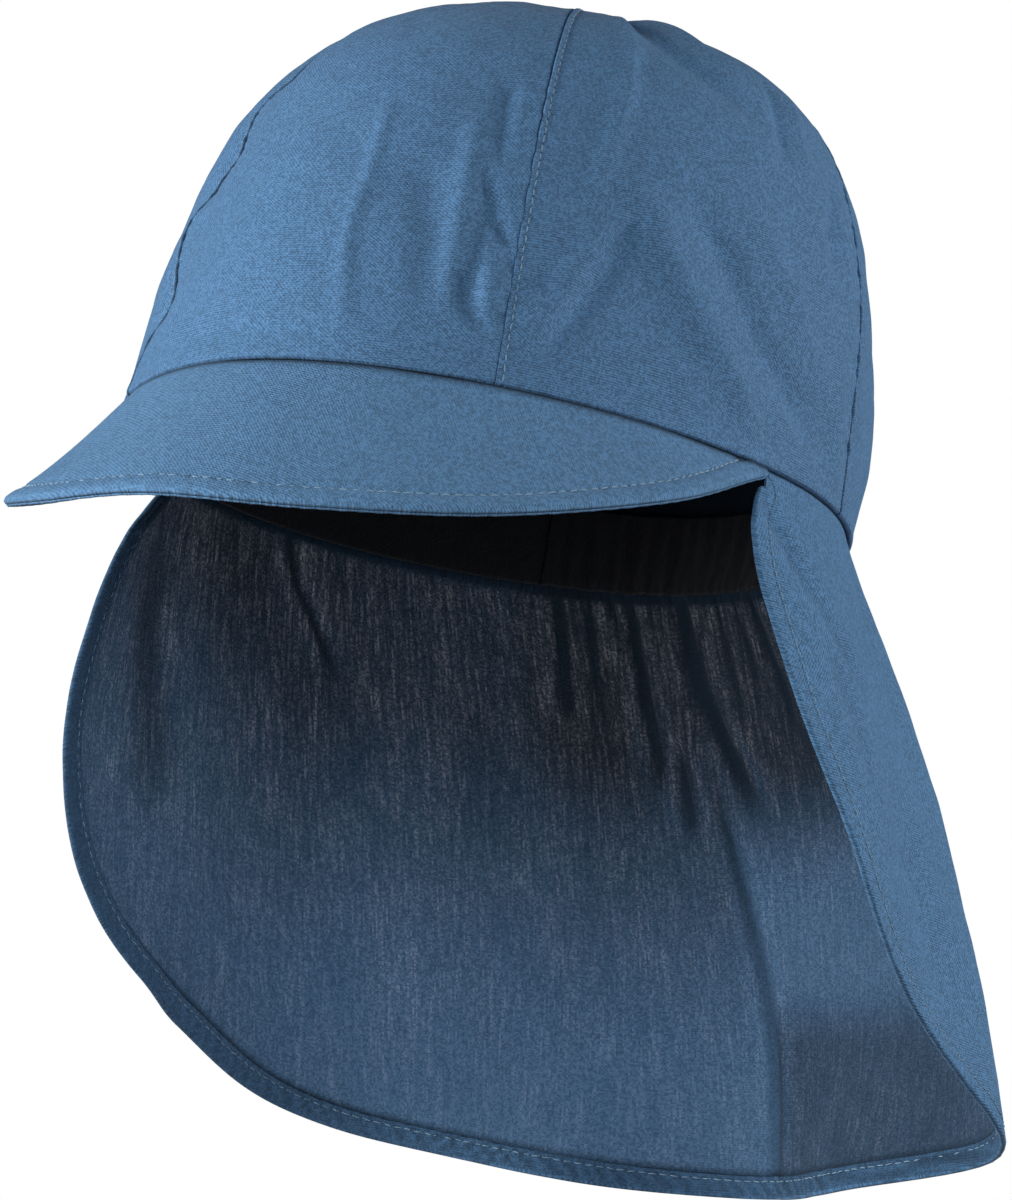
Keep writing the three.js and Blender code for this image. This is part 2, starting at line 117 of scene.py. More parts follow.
# Folds of the crown: turn and share of points along each one, half width and height
FOLD_FADE = 0.3
FOLD_STEPS = 14
CROWN_FOLDS = {
    "front ridge": ([(6, 0.42), (8, 0.23), (8, 0.12), (10.5, -0.02)], 5, 0.35),
    "line down the ridge": (
        [(6.5, 0.38), (8, 0.24), (7.6, 0.17), (8.2, 0.12), (10, 0.05), (10.5, 0)], 1.4, 0.75
    ),
    "middle hollow": ([(15, 0.29), (18.5, 0.17), (19.5, 0.12), (21, 0.03)], 3.8, -0.9),
    "ridge beside it": ([(20.8, 0.38), (22, 0.22), (22.2, 0.14), (22.6, 0.06)], 2.1, 0.8),
    "crease to the seam": ([(23.5, 0.27), (25.4, 0.23), (27.6, 0.19), (30.8, 0.14)], 1.5, -1.6),
    "upright crease": ([(25.6, 0.23), (25.6, 0.14), (25.8, 0.08)], 1.6, -1),
    "foot of the crease": ([(24.6, 0.13), (25.4, 0.09), (27.4, 0.064), (31, 0.055)], 1.8, -1.6),
    "bulge by the foot": ([(28.2, 0.15), (28.2, 0.09), (28.6, 0.04)], 2.5, 0.9),
    "upper hollow": ([(24.6, 0.44), (25, 0.34), (26.4, 0.25)], 2.1, -1.2),
    "left drape of the front": ([(-3, 0.36), (-8, 0.18), (-13, 0)], 8, 0.6),
    "hollow by the right seam": ([(-24, 0.56), (-26, 0.3), (-27, 0.04)], 6, -0.7),
    "roll over the rim": ([(-22, 0.05), (-8, 0.034), (4, 0.03), (12, 0.034)], 2.6, -0.5),
    "bag beside the seam": ([(31.5, 0.03), (35.5, 0.075), (38.5, 0.12), (41, 0.17), (45, 0.23)], 3, 1.3),
    "top of the bag": ([(30.5, 0.16), (35, 0.178), (42, 0.2), (48, 0.23)], 2.2, 0.7),
    "hollow inside the bag": ([(33, 0.13), (36, 0.12), (38.5, 0.1)], 3, -0.6),
    "crease round the bag": ([(33, 0.01), (37, 0.045), (41.5, 0.1), (45.5, 0.17), (51, 0.28)], 2.2, -1.3),
    "side drape": ([(46, 0.32), (53, 0.21), (61, 0.13), (72, 0.06), (82, 0)], 5.5, 2),
    "hollow behind the drape": ([(55, 0.32), (64, 0.22), (74, 0.125), (94, 0.03)], 4, -1.6),
    "ridge behind the hollow": ([(66, 0.32), (76, 0.23), (89, 0.12), (106, 0.04)], 5.5, 1.1),
    "streak down the side": ([(46, 0.62), (45, 0.42), (41.6, 0.28), (40, 0.18)], 2.1, 0.8),
    "hollow beside the streak": ([(38, 0.56), (39.5, 0.36), (37.5, 0.22)], 3.5, -0.6),
    "sunken top": ([(46, 0.92), (51, 0.7), (60, 0.57), (71, 0.49), (79, 0.44)], 5.5, -2),
    "ridge over the sunken top": ([(56, 0.9), (64, 0.7), (74, 0.6), (88, 0.54)], 4.5, 0.9),
    "streak beside the top": ([(44.5, 0.76), (45.5, 0.64), (46.5, 0.5)], 3, 1),
    "notch at the side": ([(82, 0.64), (79.8, 0.5), (78, 0.38)], 2.6, -1.4),
    "rise behind the notch": ([(88, 0.62), (85.5, 0.48), (84, 0.38)], 2.6, 0.8),
    "dent behind it": ([(97, 0.46), (91.5, 0.34), (93, 0.25)], 3, -1.5),
    "rise behind the dent": ([(101, 0.4), (96.5, 0.32), (98, 0.22)], 3, 0.7),
    "left rim fold": ([(70, 0.12), (80, 0)], 4, -0.8),
    "fold behind the temple": ([(92, 0.2), (99, 0)], 3.5, 0.9),
    "right temple fold": ([(-58, 0.28), (-69, 0)], 7, 1.2),
    "right side hollow": ([(-86, 0.5), (-79, 0.04)], 10, -1.4),
    "right side ridge": ([(-100, 0.4), (-92, 0.2), (-94, 0)], 5, 1),
    "back left drape": ([(120, 0), (128, 0.2), (144, 0.5)], 8, 1.3),
    "back right drape": ([(234, 0), (229, 0.24), (216, 0.54)], 8, 1.3),
    "back middle hollow": ([(168, 0.18), (162, 0.36), (165, 0.6)], 6, -0.9),
}

# Gathers that the elastic draws in at the back: turn, drop or rise where each fades out, half width
# and height
GATHERS = [
    (157.5, 14, 1.6, 0.5),
    (161, 24, 2.1, 0.8),
    (165.2, 18, 1.5, 0.7),
    (168.5, 34, 2.2, 0.9),
    (172.6, 46, 1.7, 0.8),
    (176, 20, 1.9, 0.8),
    (180.4, 38, 2.3, 1.0),
    (184.3, 22, 1.6, 0.8),
    (188.6, 50, 2.0, 1.0),
    (192.3, 26, 1.7, 0.8),
    (196, 32, 2.2, 0.9),
    (200.2, 20, 1.6, 0.6),
    (203.6, 12, 1.5, 0.4),
]

GATHER_FADES = ((153, 158), (202, 207))
PLEAT_SPACING = 2.9
PLEAT_HEIGHT = 0.32

# Seams: how high their puckers stand and how far apart, how deep the seam is drawn in, and how far
# and how much the cloth is in shade beside its line
SEAMS = {
    31: (0.22, 11, 0.15, 0.2, 0.18),
    103: (0.25, 12, 0.3, 0.25, 0.35),
    180: (0.35, 12, 0.25, 0.24, 0.45),
    257: (0.35, 12, 0.25, 0.24, 0.45),
    329: (0.12, 14, 0.4, 0.5, 0.85),
}

# The seam on the wearer's right hangs loose: share and degrees towards the front, half of them taken
# up by a shift of its line and the rest by how deep it lies
LOOSE_SEAM = 329
LOOSE_SEAM_WAY = [
    (0, -3),
    (0.03, -3),
    (0.06, -0.5),
    (0.09, 4),
    (0.12, 3.5),
    (0.15, 0.5),
    (0.18, -2),
    (0.22, -3),
    (0.245, 1.5),
    (0.28, 4.2),
    (0.31, 6.2),
    (0.345, 4.2),
    (0.385, 1.5),
    (0.43, 2),
    (0.47, 5),
    (0.56, 3),
    (1, 0),
]
LOOSE_SEAM_DEPTH = 0.2
PRESSED_SEAM = 31
TUG_SPACING = 4.6

# Width of the allowance under a raised seam, distance of its stitches from the seam, and how deep the
# cloth's edge rolls in at a seam
STRIP_WIDTH = 1.4
STITCH_INSET = 1.25
EDGE_DEPTH = 0.85

# Width of a panel below which the edges at its seams are narrowed, and the distance given for the
# stitches where a cloth has none
WIDE_ENOUGH = 14
UNSTITCHED = 99

# The panels: where each starts and ends, and which of its seams are raised and topstitched
PANELS = [
    ("crown_front_panel", -31, 31, ()),
    ("crown_left_panel", 31, 103, ("start",)),
    ("crown_back_left_panel", 103, 180, ("start", "end")),
    ("crown_back_right_panel", 180, 257, ("end",)),
    ("crown_right_panel", 257, 329, ("end",)),
]

# Distances from a seam or hem at which the mesh has a row, closest where the edge rolls in
EDGE_STEPS = np.array([0.02, 0.1, 0.22, 0.38, 0.58, 0.82, 1.1, 1.45, 1.8, 2.3, 3.0])


def ramp(low, high, x):
    """0 below low, 1 above high and a smooth rise between."""
    share = np.clip((np.asarray(x, float) - low) / (high - low), 0, 1)
    return share * share * (3 - 2 * share)


def fall(low, high, x):
    """1 below low, 0 above high and a smooth fall between."""
    return 1 - ramp(low, high, x)


def between(rise, end, x):
    """Rises from 0 to 1 over the first pair of values and falls back to 0 over the second."""
    return ramp(*rise, x) * fall(*end, x)


def bell(x, half_width):
    """1 at 0, fading softly on both sides."""
    return np.exp(-((x / half_width) ** 2))


def rolled(distance, reach):
    """How far a rounded edge has dropped, from 1 at the edge to 0 at its reach."""
    edge = np.clip(1 - distance / reach, 0, 1)
    return 1 - np.sqrt(1 - edge**2)


def matched(x, y):
    """Two numbers or grids of them as grids of one shape."""
    return np.broadcast_arrays(np.asarray(x, float), np.asarray(y, float))


def unevenness(x, y, patch, seed):
    """Soft random height from -1 to 1, in patches about that many millimetres across."""
    cells = 64
    lattice = np.random.default_rng(seed).uniform(-1, 1, (cells, cells))
    x, y = (grid / patch for grid in matched(x, y))
    column, row = np.floor(x).astype(int), np.floor(y).astype(int)
    across, along = ramp(0, 1, x - column), ramp(0, 1, y - row)
    corner = [[lattice[(column + i) % cells, (row + j) % cells] for j in (0, 1)] for i in (0, 1)]
    near = corner[0][0] * (1 - across) + corner[1][0] * across
    far = corner[0][1] * (1 - across) + corner[1][1] * across
    return near * (1 - along) + far * along


def read_table(rows, column, at):
    """Reads one column of a table smoothly between its rows, by its first column."""
    table = np.array(rows, float)
    keys, values = table[:, 0], table[:, column]
    at = np.clip(np.asarray(at, float), keys[0], keys[-1])
    i = np.clip(np.searchsorted(keys, at, side="right") - 1, 0, len(keys) - 2)
    before, after = np.maximum(i - 1, 0), np.minimum(i + 2, len(keys) - 1)
    width = keys[i + 1] - keys[i]
    u = (at - keys[i]) / width
    rise = u * u * (3 - 2 * u)
    slope_in = (values[i + 1] - values[before]) / (keys[i + 1] - keys[before])
    slope_out = (values[after] - values[i]) / (keys[after] - keys[i])
    bend = width * u * (1 - u) * (slope_in * (1 - u) - slope_out * u)
    return values[i] * (1 - rise) + values[i + 1] * rise + bend


def outward(turn):
    angle = np.radians(np.asarray(turn, float))
    return np.stack([np.sin(angle), -np.cos(angle), np.zeros_like(angle)], axis=-1)


def rim_reach(turn):
    across, ahead = np.sin(np.radians(turn)), np.cos(np.radians(turn))
    reach = np.where(ahead > 0, FRONT_REACH, BACK_REACH)
    spread = np.abs(across / HALF_WIDTH) ** OVAL_POWER + np.abs(ahead / reach) ** OVAL_POWER
    return spread ** (-1 / OVAL_POWER)


def profile_at(turn, column):
    ahead = np.cos(np.radians(turn))
    end = np.where(ahead > 0, PROFILE["front"][column], PROFILE["back"][column])
    return PROFILE["side"][column] * (1 - ahead**2) + end * ahead**2


def crown_base(turn, share):
    """The crown without its folds, from the rim at share 0 to the top at 1."""
    turn, share = matched(turn, share)
    rim = outward(turn) * rim_reach(turn)[..., None]
    top = np.array([0, TOP_SET_BACK, CROWN_HEIGHT], float)
    lift = profile_at(turn, "upright") * CROWN_HEIGHT
    wall = rim - outward(turn) * (profile_at(turn, "lean") * lift)[..., None]
    wall[..., 2] = lift
    shoulder = top + (rim - top) * profile_at(turn, "shoulder")[..., None]
    shoulder[..., 2] = CROWN_HEIGHT
    t = share[..., None]
    level = (1 - t) ** 3 * rim + 3 * (1 - t) ** 2 * t * wall + 3 * (1 - t) * t**2 * shoulder + t**3 * top
    x, y, z = level[..., 0], level[..., 1], level[..., 2]
    cos, sin = math.cos(TILT), math.sin(TILT)
    return np.stack([x, y * cos + z * sin, z * cos - y * sin], -1)


def unit(vectors):
    return vectors / np.maximum(np.linalg.norm(vectors, axis=-1, keepdims=True), 1e-9)


def facing(surface, a, b, step_a, step_b):
    """The way a surface given by two numbers faces."""
    across = surface(a + step_a, b) - surface(a - step_a, b)
    along = surface(a, b + step_b) - surface(a, b - step_b)
    return unit(np.cross(across, along))


def crown_facing(turn, share):
    return facing(crown_base, turn, np.minimum(share, 0.98), 0.5, 0.005)


def run_length(points):
    """Length along the rows of a grid of points, from the first row."""
    steps = np.linalg.norm(np.diff(points, axis=0), axis=-1)
    return np.concatenate([np.zeros_like(steps[:1]), np.cumsum(steps, axis=0)])


def fold_share(x, y, points, half_width):
    """How much of a fold is felt: full on its line, fading to each side and at both ends."""
    knots = [(step, *point) for step, point in enumerate(points)]
    steps = np.linspace(0, len(points) - 1, FOLD_STEPS)
    line = np.stack([read_table(knots, 1, steps), read_table(knots, 2, steps)], -1)
    run = run_length(line)
    x, y = matched(x, y)
    aside, along = np.full(x.shape, np.inf), np.zeros(x.shape)
    for start, ahead, begun in zip(line[:-1], np.diff(line, axis=0), run):
        length = math.hypot(*ahead)
        part = np.clip(((x - start[0]) * ahead[0] + (y - start[1]) * ahead[1]) / length**2, 0, 1)
        off = np.hypot(x - start[0] - part * ahead[0], y - start[1] - part * ahead[1])
        along = np.where(off < aside, (begun + part * length) / run[-1], along)
        aside = np.minimum(off, aside)
    ends = between((0, FOLD_FADE), (1 - FOLD_FADE, 1), along)
    return ends * bell(aside, half_width)


def gather_height(turn, away, lengthen=1.0):
    """Height of the gathers that far from the rim, and none beyond both ends of the elastic."""
    full = np.asarray(turn, float) % 360
    height = np.zeros(np.broadcast(full, away).shape)
    for centre, length, half_width, tall in GATHERS:
        spread = 1 + 0.3 * np.clip(away / (length * lengthen), 0, 1)
        aside = (full - centre) * BACK_DEGREE / (half_width * spread)
        fade = fall(0.15, 1, away / (length * lengthen))
        height = height + tall * fade * (np.exp(-(aside**2)) - 0.06)
    pleats = full * BACK_DEGREE / PLEAT_SPACING + unevenness(full * 0.6, 0, 5, 61)
    fine = np.sin(2 * math.pi * pleats)
    reach = (9 + 5 * unevenness(full, 3, 4, 62)) * lengthen
    height = height + PLEAT_HEIGHT * fine * fall(0.2, 1, away / reach)
    return height * between(*GATHER_FADES, full)


def crown_folds(turn, share):
    signed = (np.asarray(turn, float) + 180) % 360 - 180
    x, y = signed * DEGREE, share * CROWN_CLIMB
    height = gather_height(turn, y, 0.8)
    for points, half_width, tall in CROWN_FOLDS.values():
        line = [(along * DEGREE, up * CROWN_CLIMB) for along, up in points]
        height = height + tall * fold_share(x, y, line, half_width)
    soft = 0.35 * unevenness(x, y, 17, 3) + 0.12 * unevenness(x + 0.4 * y, y, 6, 4)
    return height + soft * ramp(0, 8, y)


def seam_relief(distance, raised):
    """A seam's cross-section that far from its line: a rolled edge, and where the allowance lies
    under the cloth, a raised strip up to the pulled-in stitching."""
    height = -EDGE_DEPTH * rolled(distance, 0.4 if raised else 0.6)
    if raised:
        height = height + 0.4 * fall(STRIP_WIDTH - 0.5, STRIP_WIDTH + 0.3, distance)
        height = height - 0.22 * bell(distance - STRIP_WIDTH, 0.45)
    else:
        height = height + 0.18 * fall(0.4, 3.0, distance)
    return height


def seam_pucker(seam, distance, climb, phase):
    """Short bulges that the stitching draws up beside a seam, and the valley that it lies in."""
    tall, spacing, drawn_in, _, _ = SEAMS[seam % 360]
    sway = unevenness(climb, seam * 7.0, 23, 11)
    wave = np.sin(2 * math.pi * (climb / spacing + 0.35 * sway + phase))
    bulge = 0.65 + 0.35 * unevenness(climb, seam * 3.0, 31, 12)
    wave = tall * wave * bulge * bell(distance, 6.5)
    tug = np.sin(2 * math.pi * (climb / TUG_SPACING + 0.4 * unevenness(climb, seam * 5.0, 9, 15) + phase))
    wave = wave + 0.1 * tug * bell(distance, 2.8)
    fade = ramp(4, 14, climb) * (1 - 0.75 * ramp(80, 110, climb))
    deep = drawn_in
    if seam % 360 == LOOSE_SEAM:
        deep = deep + LOOSE_SEAM_DEPTH * read_table(LOOSE_SEAM_WAY, 1, climb / CROWN_CLIMB)
    return wave * fade - deep * bell(distance, 4.5)


def seam_shade(seam, distance, climb):
    """Shade in the groove of a seam, uneven along it."""
    _, _, _, reach, dark = SEAMS[seam % 360]
    return dark * (0.8 + 0.3 * unevenness(climb, seam * 2.0, 16, 14)) * bell(distance, reach)


def pressed_flat(seam, share):
    """What is left of a seam's relief: the one on the wearer's left is pressed flatter low down."""
    return 1 - 0.65 * (seam == PRESSED_SEAM) * fall(0.22, 0.42, share)


def rim_relief(climb):
    """The crown's lower edge, rolled over what is sewn below it."""
    return -EDGE_DEPTH * rolled(climb, 0.9) + 0.22 * fall(1.2, 3.4, climb)


def panel_height(panel, turn, share, from_start, from_end):
    """Height of a crown panel over the smooth crown, and the same without its seams' edges."""
    _, start, end, raised = panel
    climb = share * CROWN_CLIMB
    body = crown_folds(turn, share)
    body = body + seam_pucker(start, from_start, climb, 0) + seam_pucker(end, from_end, climb, 0.4)
    edges = seam_relief(from_start, "start" in raised) * pressed_flat(start, share)
    edges = edges + seam_relief(from_end, "end" in raised) * pressed_flat(end, share)
    return body + edges + rim_relief(climb), body


def half_span(panel, share):
    """Half a panel's width at that height."""
    _, start, end, _ = panel
    middle = (start + end) / 2
    from_top = np.linalg.norm(crown_base(middle, share) - crown_base(middle + 180, share), axis=-1) / 2
    return math.radians((end - start) / 2) * from_top


def panel_width(panel, share):
    """A panel's width at that height, and how much the edges at its seams are narrowed to fit it."""
    width = 2 * half_span(panel, share)
    return width, np.clip(width / WIDE_ENOUGH, 0, 1)


def seam_turn(seam, share):
    """The turn of a seam at that height."""
    if seam % 360 != LOOSE_SEAM:
        return seam + 0 * share
    return seam + read_table(LOOSE_SEAM_WAY, 1, share) / 2


def panel_turn(panel, share, distance):
    """The turn of a place that far from the panel's first seam."""
    _, start, end, _ = panel
    first, last = seam_turn(start, share), seam_turn(end, share)
    return first + (last - first) * distance / (2 * half_span(panel, share))


def add_uv(mesh, title, places):
    """Gives a mesh a UV map from a pair of numbers for each of its points."""
    corners = np.zeros(len(mesh.loops), np.int32)
    mesh.loops.foreach_get("vertex_index", corners)
    layer = mesh.uv_layers.new(name=title)
    layer.data.foreach_set("uv", places[corners].astype(np.float32).ravel())


def cloth_mesh(name, right_side, wrong_side, weave, edge, **marks):
    """A closed sheet from grids of points on the cloth's right and wrong sides. Weave is the place
    in the cloth and edge the distance from a seam or hem and the run along it, in millimetres. A mark
    is a value for each point, such as its shade, given for the right side and for the wrong one."""
    rows, columns = right_side.shape[:2]
    points = np.concatenate([right_side.reshape(-1, 3), wrong_side.reshape(-1, 3)]) * MM
    number = np.arange(rows * columns).reshape(rows, columns)
    low = np.stack([number[:-1, :-1], number[:-1, 1:], number[1:, 1:], number[1:, :-1]], -1).reshape(-1, 4)
    border = np.concatenate([number[0, :-1], number[:-1, -1], number[-1, :0:-1], number[:0:-1, 0]])
    following = np.roll(border, -1)
    offset = rows * columns
    wall = np.stack([following, border, border + offset, following + offset], -1)
    faces = np.concatenate([low, low[:, ::-1] + offset, wall])
    mesh = bpy.data.meshes.new(name)
    mesh.vertices.add(len(points))
    mesh.vertices.foreach_set("co", points.astype(np.float32).ravel())
    mesh.loops.add(faces.size)
    mesh.loops.foreach_set("vertex_index", faces.astype(np.int32).ravel())
    mesh.polygons.add(len(faces))
    mesh.polygons.foreach_set("loop_start", np.arange(0, faces.size, 4, dtype=np.int32))
    mesh.polygons.foreach_set("loop_total", np.full(len(faces), 4, np.int32))
    mesh.update(calc_edges=True)
    for title, grid in (("weave", weave), ("edge", edge)):
        add_uv(mesh, title, np.concatenate([grid.reshape(-1, 2)] * 2))
    for title, sides in marks.items():
        values = np.concatenate([np.broadcast_to(grid, (rows, columns)).ravel() for grid in sides])
        layer = mesh.attributes.new(title, "FLOAT", "POINT")
        layer.data.foreach_set("value", values.astype(np.float32))
    mesh.polygons.foreach_set("use_smooth", np.ones(len(faces), bool))
    mesh.validate()
    return placed(name, mesh)


class Shade:
    """A node's output in a material. Arithmetic on it adds the Math nodes that work the answer out,
    and its node method adds any other node."""

    def __init__(self, tree, socket=None):
        self.tree = tree
        self.socket = socket

    def node(self, kind, settings=(), sockets=(), output=0):
        made = self.tree.nodes.new(kind)
        for setting, value in dict(settings).items():
            setattr(made, setting, value)
        for place, value in dict(sockets).items():
            if isinstance(value, Shade):
                self.tree.links.new(value.socket, made.inputs[place])
            else:
                made.inputs[place].default_value = value
        return Shade(self.tree, made.outputs[output] if made.outputs else None)

    def maths(self, operation, *operands):
        return self.node("ShaderNodeMath", {"operation": operation}, dict(enumerate(operands)))

    def __add__(self, other):
        return self.maths("ADD", self, other)

    __radd__ = __add__

    def __sub__(self, other):
        return self.maths("SUBTRACT", self, other)

    def __rsub__(self, other):
        return self.maths("SUBTRACT", other, self)

    def __mul__(self, other):
        return self.maths("MULTIPLY", self, other)

    __rmul__ = __mul__

    def __truediv__(self, other):
        return self.maths("DIVIDE", self, other)

    def sine(self):
        return self.maths("SINE", self)

    def fraction(self):
        return self.maths("FRACT", self)

    def whole(self):
        return self.maths("FLOOR", self)

    def size(self):
        return self.maths("ABSOLUTE", self)

    def rise(self, low, high):
        """0 below low, 1 above high and a smooth rise between."""
        sockets = {0: self, 1: low, 2: high, 3: 0.0, 4: 1.0}
        return self.node("ShaderNodeMapRange", {"interpolation_type": "SMOOTHSTEP"}, sockets)

    def parts(self):
        split = self.node("ShaderNodeSeparateXYZ", sockets={0: self}).socket.node
        return [Shade(self.tree, split.outputs[i]) for i in range(3)]

    def place(self, x, y):
        return self.node("ShaderNodeCombineXYZ", sockets={0: x, 1: y})

    def cloud(self, place, scale, detail=2.0, roughness=0.5):
        sockets = {"Vector": place, "Scale": scale, "Detail": detail, "Roughness": roughness}
        return self.node("ShaderNodeTexNoise", sockets=sockets)

    def blend(self, share, first, second, mode="MIX"):
        settings = {"data_type": "RGBA", "blend_type": mode}
        return self.node("ShaderNodeMix", settings, {0: share, 6: first, 7: second}, output=2)


def colour(red, green, blue):
    """A shader colour from screen values out of 255."""
    levels = [v / 255 for v in (red, green, blue)]
    return tuple(v / 12.92 if v <= 0.04045 else ((v + 0.055) / 1.055) ** 2.4 for v in levels) + (1.0,)


def deeper(tint, share):
    return tuple(min(v * share, 1) for v in tint[:3]) + (1.0,)


def new_material(name):
    """A material without nodes, and the Shade that adds them."""
    material = bpy.data.materials.new(name)
    material.use_nodes = True
    material.node_tree.nodes.clear()
    return material, Shade(material.node_tree)


def finish_material(shade, sockets):
    """Gives a material the surface that its values and Shades describe."""
    surface = shade.node("ShaderNodeBsdfPrincipled", sockets=sockets)
    shade.node("ShaderNodeOutputMaterial", sockets={"Surface": surface})


THREAD_SPACING = 0.42
CROWN_PITCH = 2.3


def cotton(name, tint, stitch_line, pitch, contrast=1.0, through=None):
    """Plain-woven cotton: fine ribs across, uneven threads and a fleck where they cross. It is darker by
    the painted shade of the cloth's shade mark, and a painted shade lies in the groove along the stitch
    line, deepest at the pinholes between stitches. Where colours are given for light through it, that
    light is painted as a glow: through the cloth by its glow mark, and in small bright points between the
    threads by its mark for light through pinholes."""
    material, shade = new_material(name)
    weave = shade.node("ShaderNodeUVMap", {"uv_map": "weave"})
    x, y, _ = weave.parts()
    slub_across = shade.cloud(shade.place(x * 0.15, y), 2.0, 2.0)
    slub_along = shade.cloud(shade.place(x, y * 0.12), 2.0, 2.0)
    fleck = shade.cloud(weave, 3.0, 1.0, 0.6)
    mottle = shade.cloud(weave, 0.7, 2.0)
    patch = shade.cloud(weave, 0.06, 2.0)
    warp = (x / THREAD_SPACING).whole()
    weft = (y / THREAD_SPACING).whole()
    crossing_place = {"Vector": shade.place(warp, weft)}
    crossing = shade.node("ShaderNodeTexWhiteNoise", {"noise_dimensions": "2D"}, crossing_place)
    ribs = (y * (2 * math.pi / 0.56) + slub_along * 3).sine()
    twill = ((x * 0.8 + y) * (2 * math.pi / 0.72) + slub_across * 3).sine()
    ribbed = patch.rise(0.38, 0.62)
    grain = (fleck - 0.5) * 0.3 + (crossing - 0.5) * 0.56
    grain = grain + (slub_across - 0.5) * 0.26 + (slub_along - 0.5) * 0.26
    grain = grain + ribs * (0.04 + ribbed * 0.2) + twill * (0.17 - ribbed * 0.12) + (mottle - 0.5) * 0.1
    tone = 0.5 + grain * contrast
    face = shade.blend(tone.rise(-0.1, 1.1), deeper(tint, 0.56), deeper(tint, 1.46))
    height = ribs * (0.25 + ribbed * 0.4) + twill * 0.3 + (slub_across - 0.5) * 0.8 + (fleck - 0.5) * 0.7
    distance, run, _ = shade.node("ShaderNodeUVMap", {"uv_map": "edge"}).parts()
    # Painted shade in the groove along the stitch line, deepest at the pinholes between stitches
    beside = 1 - (distance - stitch_line).size().rise(0.1, 0.34)
    between = ((run / pitch).fraction() - 0.5).size().rise(0.38, 0.44)
    face = shade.blend(beside * (0.24 + between * 0.5), face, deeper(tint, 0.25))
    height = height - beside * 1.2
    # Painted shade from the cloth's shade mark
    in_shade = shade.node("ShaderNodeAttribute", {"attribute_name": "shade"}, output=2)
    face = shade.blend(in_shade, face, deeper(tint, 0.1))
    bump = shade.node("ShaderNodeBump", sockets={"Strength": 0.5, "Distance": 0.00012, "Height": height})
    sockets = {"Base Color": face, "Roughness": 0.85 - tone.rise(0, 1) * 0.1, "Normal": bump}
    sockets.update({"Sheen Weight": 0.04, "Sheen Roughness": 0.5, "Specular IOR Level": 0.14})
    if through is not None:
        # Light through the cloth painted as a glow: an even glow by the glow mark, and bright points
        # between the threads by the mark for light through pinholes
        glow = shade.node("ShaderNodeAttribute", {"attribute_name": "glow"}, output=2)
        pinhole_glow = shade.node("ShaderNodeAttribute", {"attribute_name": "pinhole_glow"}, output=2)
        own_slub = shade.cloud(shade.place(warp * 7.3, y * 0.14), 1.0, 2.0)
        streak = shade.cloud(shade.place(x, y * 0.07), 0.8, 3.0, 0.6)
        cluster = shade.cloud(shade.place(x, y * 0.3), 0.09, 2.0).rise(0.3, 0.7)
        points = (0.25 + crossing.rise(0.2, 1.0) * 0.75) * (0.3 + own_slub.rise(0.4, 0.66) * 0.7)
        specks = pinhole_glow * points * (0.3 + streak.rise(0.36, 0.66) * 0.7) * (0.6 + cluster * 0.4)
        daylight = glow * (0.3 + own_slub * 0.5 + streak * 0.3 + crossing * 0.5)
        light = shade.blend(daylight, (0, 0, 0, 1), through[0])
        light = shade.blend(specks, light, through[1], "ADD")
        sockets.update({"Emission Color": light, "Emission Strength": 1.0})
    finish_material(shade, sockets)
    return material


BLUE = colour(90, 132, 174)
# Painted shade on the crown's inner face: its wrong side is painted fully dark for the shade inside the
# crown
CROWN_INSIDE_SHADE = 1
crown_cotton = cotton("crown_cotton", BLUE, STITCH_INSET, CROWN_PITCH)


def settle(piece, material, slot, *nodes):
    """Dresses a piece, lets it ride on the cap and stand for its plain solids."""
    piece.data.materials.append(material)
    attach(piece, "root")
    if nodes:
        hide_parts(*nodes)


def panel_rows():
    near = EDGE_STEPS / CROWN_CLIMB
    lower = np.linspace(near[-1], 0.5, 86)[1:]
    upper = np.linspace(0.5, TOP_SHARE, 50)[1:]
    return np.concatenate([near, lower, upper])


def crown_panel(panel):
    """One panel as a closed sheet, thicker where its allowances lie inside it."""
    name, start, end, raised = panel
    share = panel_rows()[:, None]
    width, squeeze = panel_width(panel, share)
    near = EDGE_STEPS[None, :] * squeeze
    columns = int((end - start) * (1.7 if "back" in name else 1.35))
    spread = np.linspace(0, 1, columns)[None, 1:-1]
    middle = near[:, -1:] + (width - 2 * near[:, -1:]) * spread
    from_start = np.concatenate([near, middle, width - near[:, ::-1]], axis=1)
    from_end = width - from_start
    turn = panel_turn(panel, share, from_start)
    base = crown_base(turn, share)
    normal = crown_facing(turn, share)
    height, body = panel_height(panel, turn, share, from_start / squeeze, from_end / squeeze)
    allowance = np.zeros_like(body)
    for distance in (from_start, from_end):
        allowance = allowance + 0.3 * fall(5, 6.5, distance) * ramp(4, 6, share * CROWN_CLIMB)
    right_side = base + normal * height[..., None]
    wrong_side = base + normal * (body - CLOTH - allowance)[..., None]
    climb = run_length(base)
    weave = np.stack([from_start - width / 2, climb], -1)
    stitched = np.full_like(from_start, UNSTITCHED)
    if "start" in raised:
        stitched = np.minimum(stitched, from_start)
    if "end" in raised:
        stitched = np.minimum(stitched, from_end)
    edge = np.stack([stitched, climb], -1)
    rows = share * CROWN_CLIMB
    # Painted shade in the seams' grooves, and a painted shadow under the crown's rolled lower edge
    painted_groove_shade = seam_shade(start, from_start, rows) + seam_shade(end, from_end, rows)
    painted_groove_shade = np.clip(painted_groove_shade + 0.5 * bell(rows, 0.35), 0, 1)
    shade = (painted_groove_shade, CROWN_INSIDE_SHADE)
    piece = cloth_mesh(f"{name}_cloth", right_side, wrong_side, weave, edge, shade=shade)
    settle(piece, crown_cotton, "crown_cloth", name)
    return piece


panels = {panel[0]: crown_panel(panel) for panel in PANELS}

# Topstitching of the crown: paler cotton thread, sewn through each pressed-back allowance beside its
# seam. Each stitch is a short thread whose ends dip into the cloth.
THREAD = 0.19


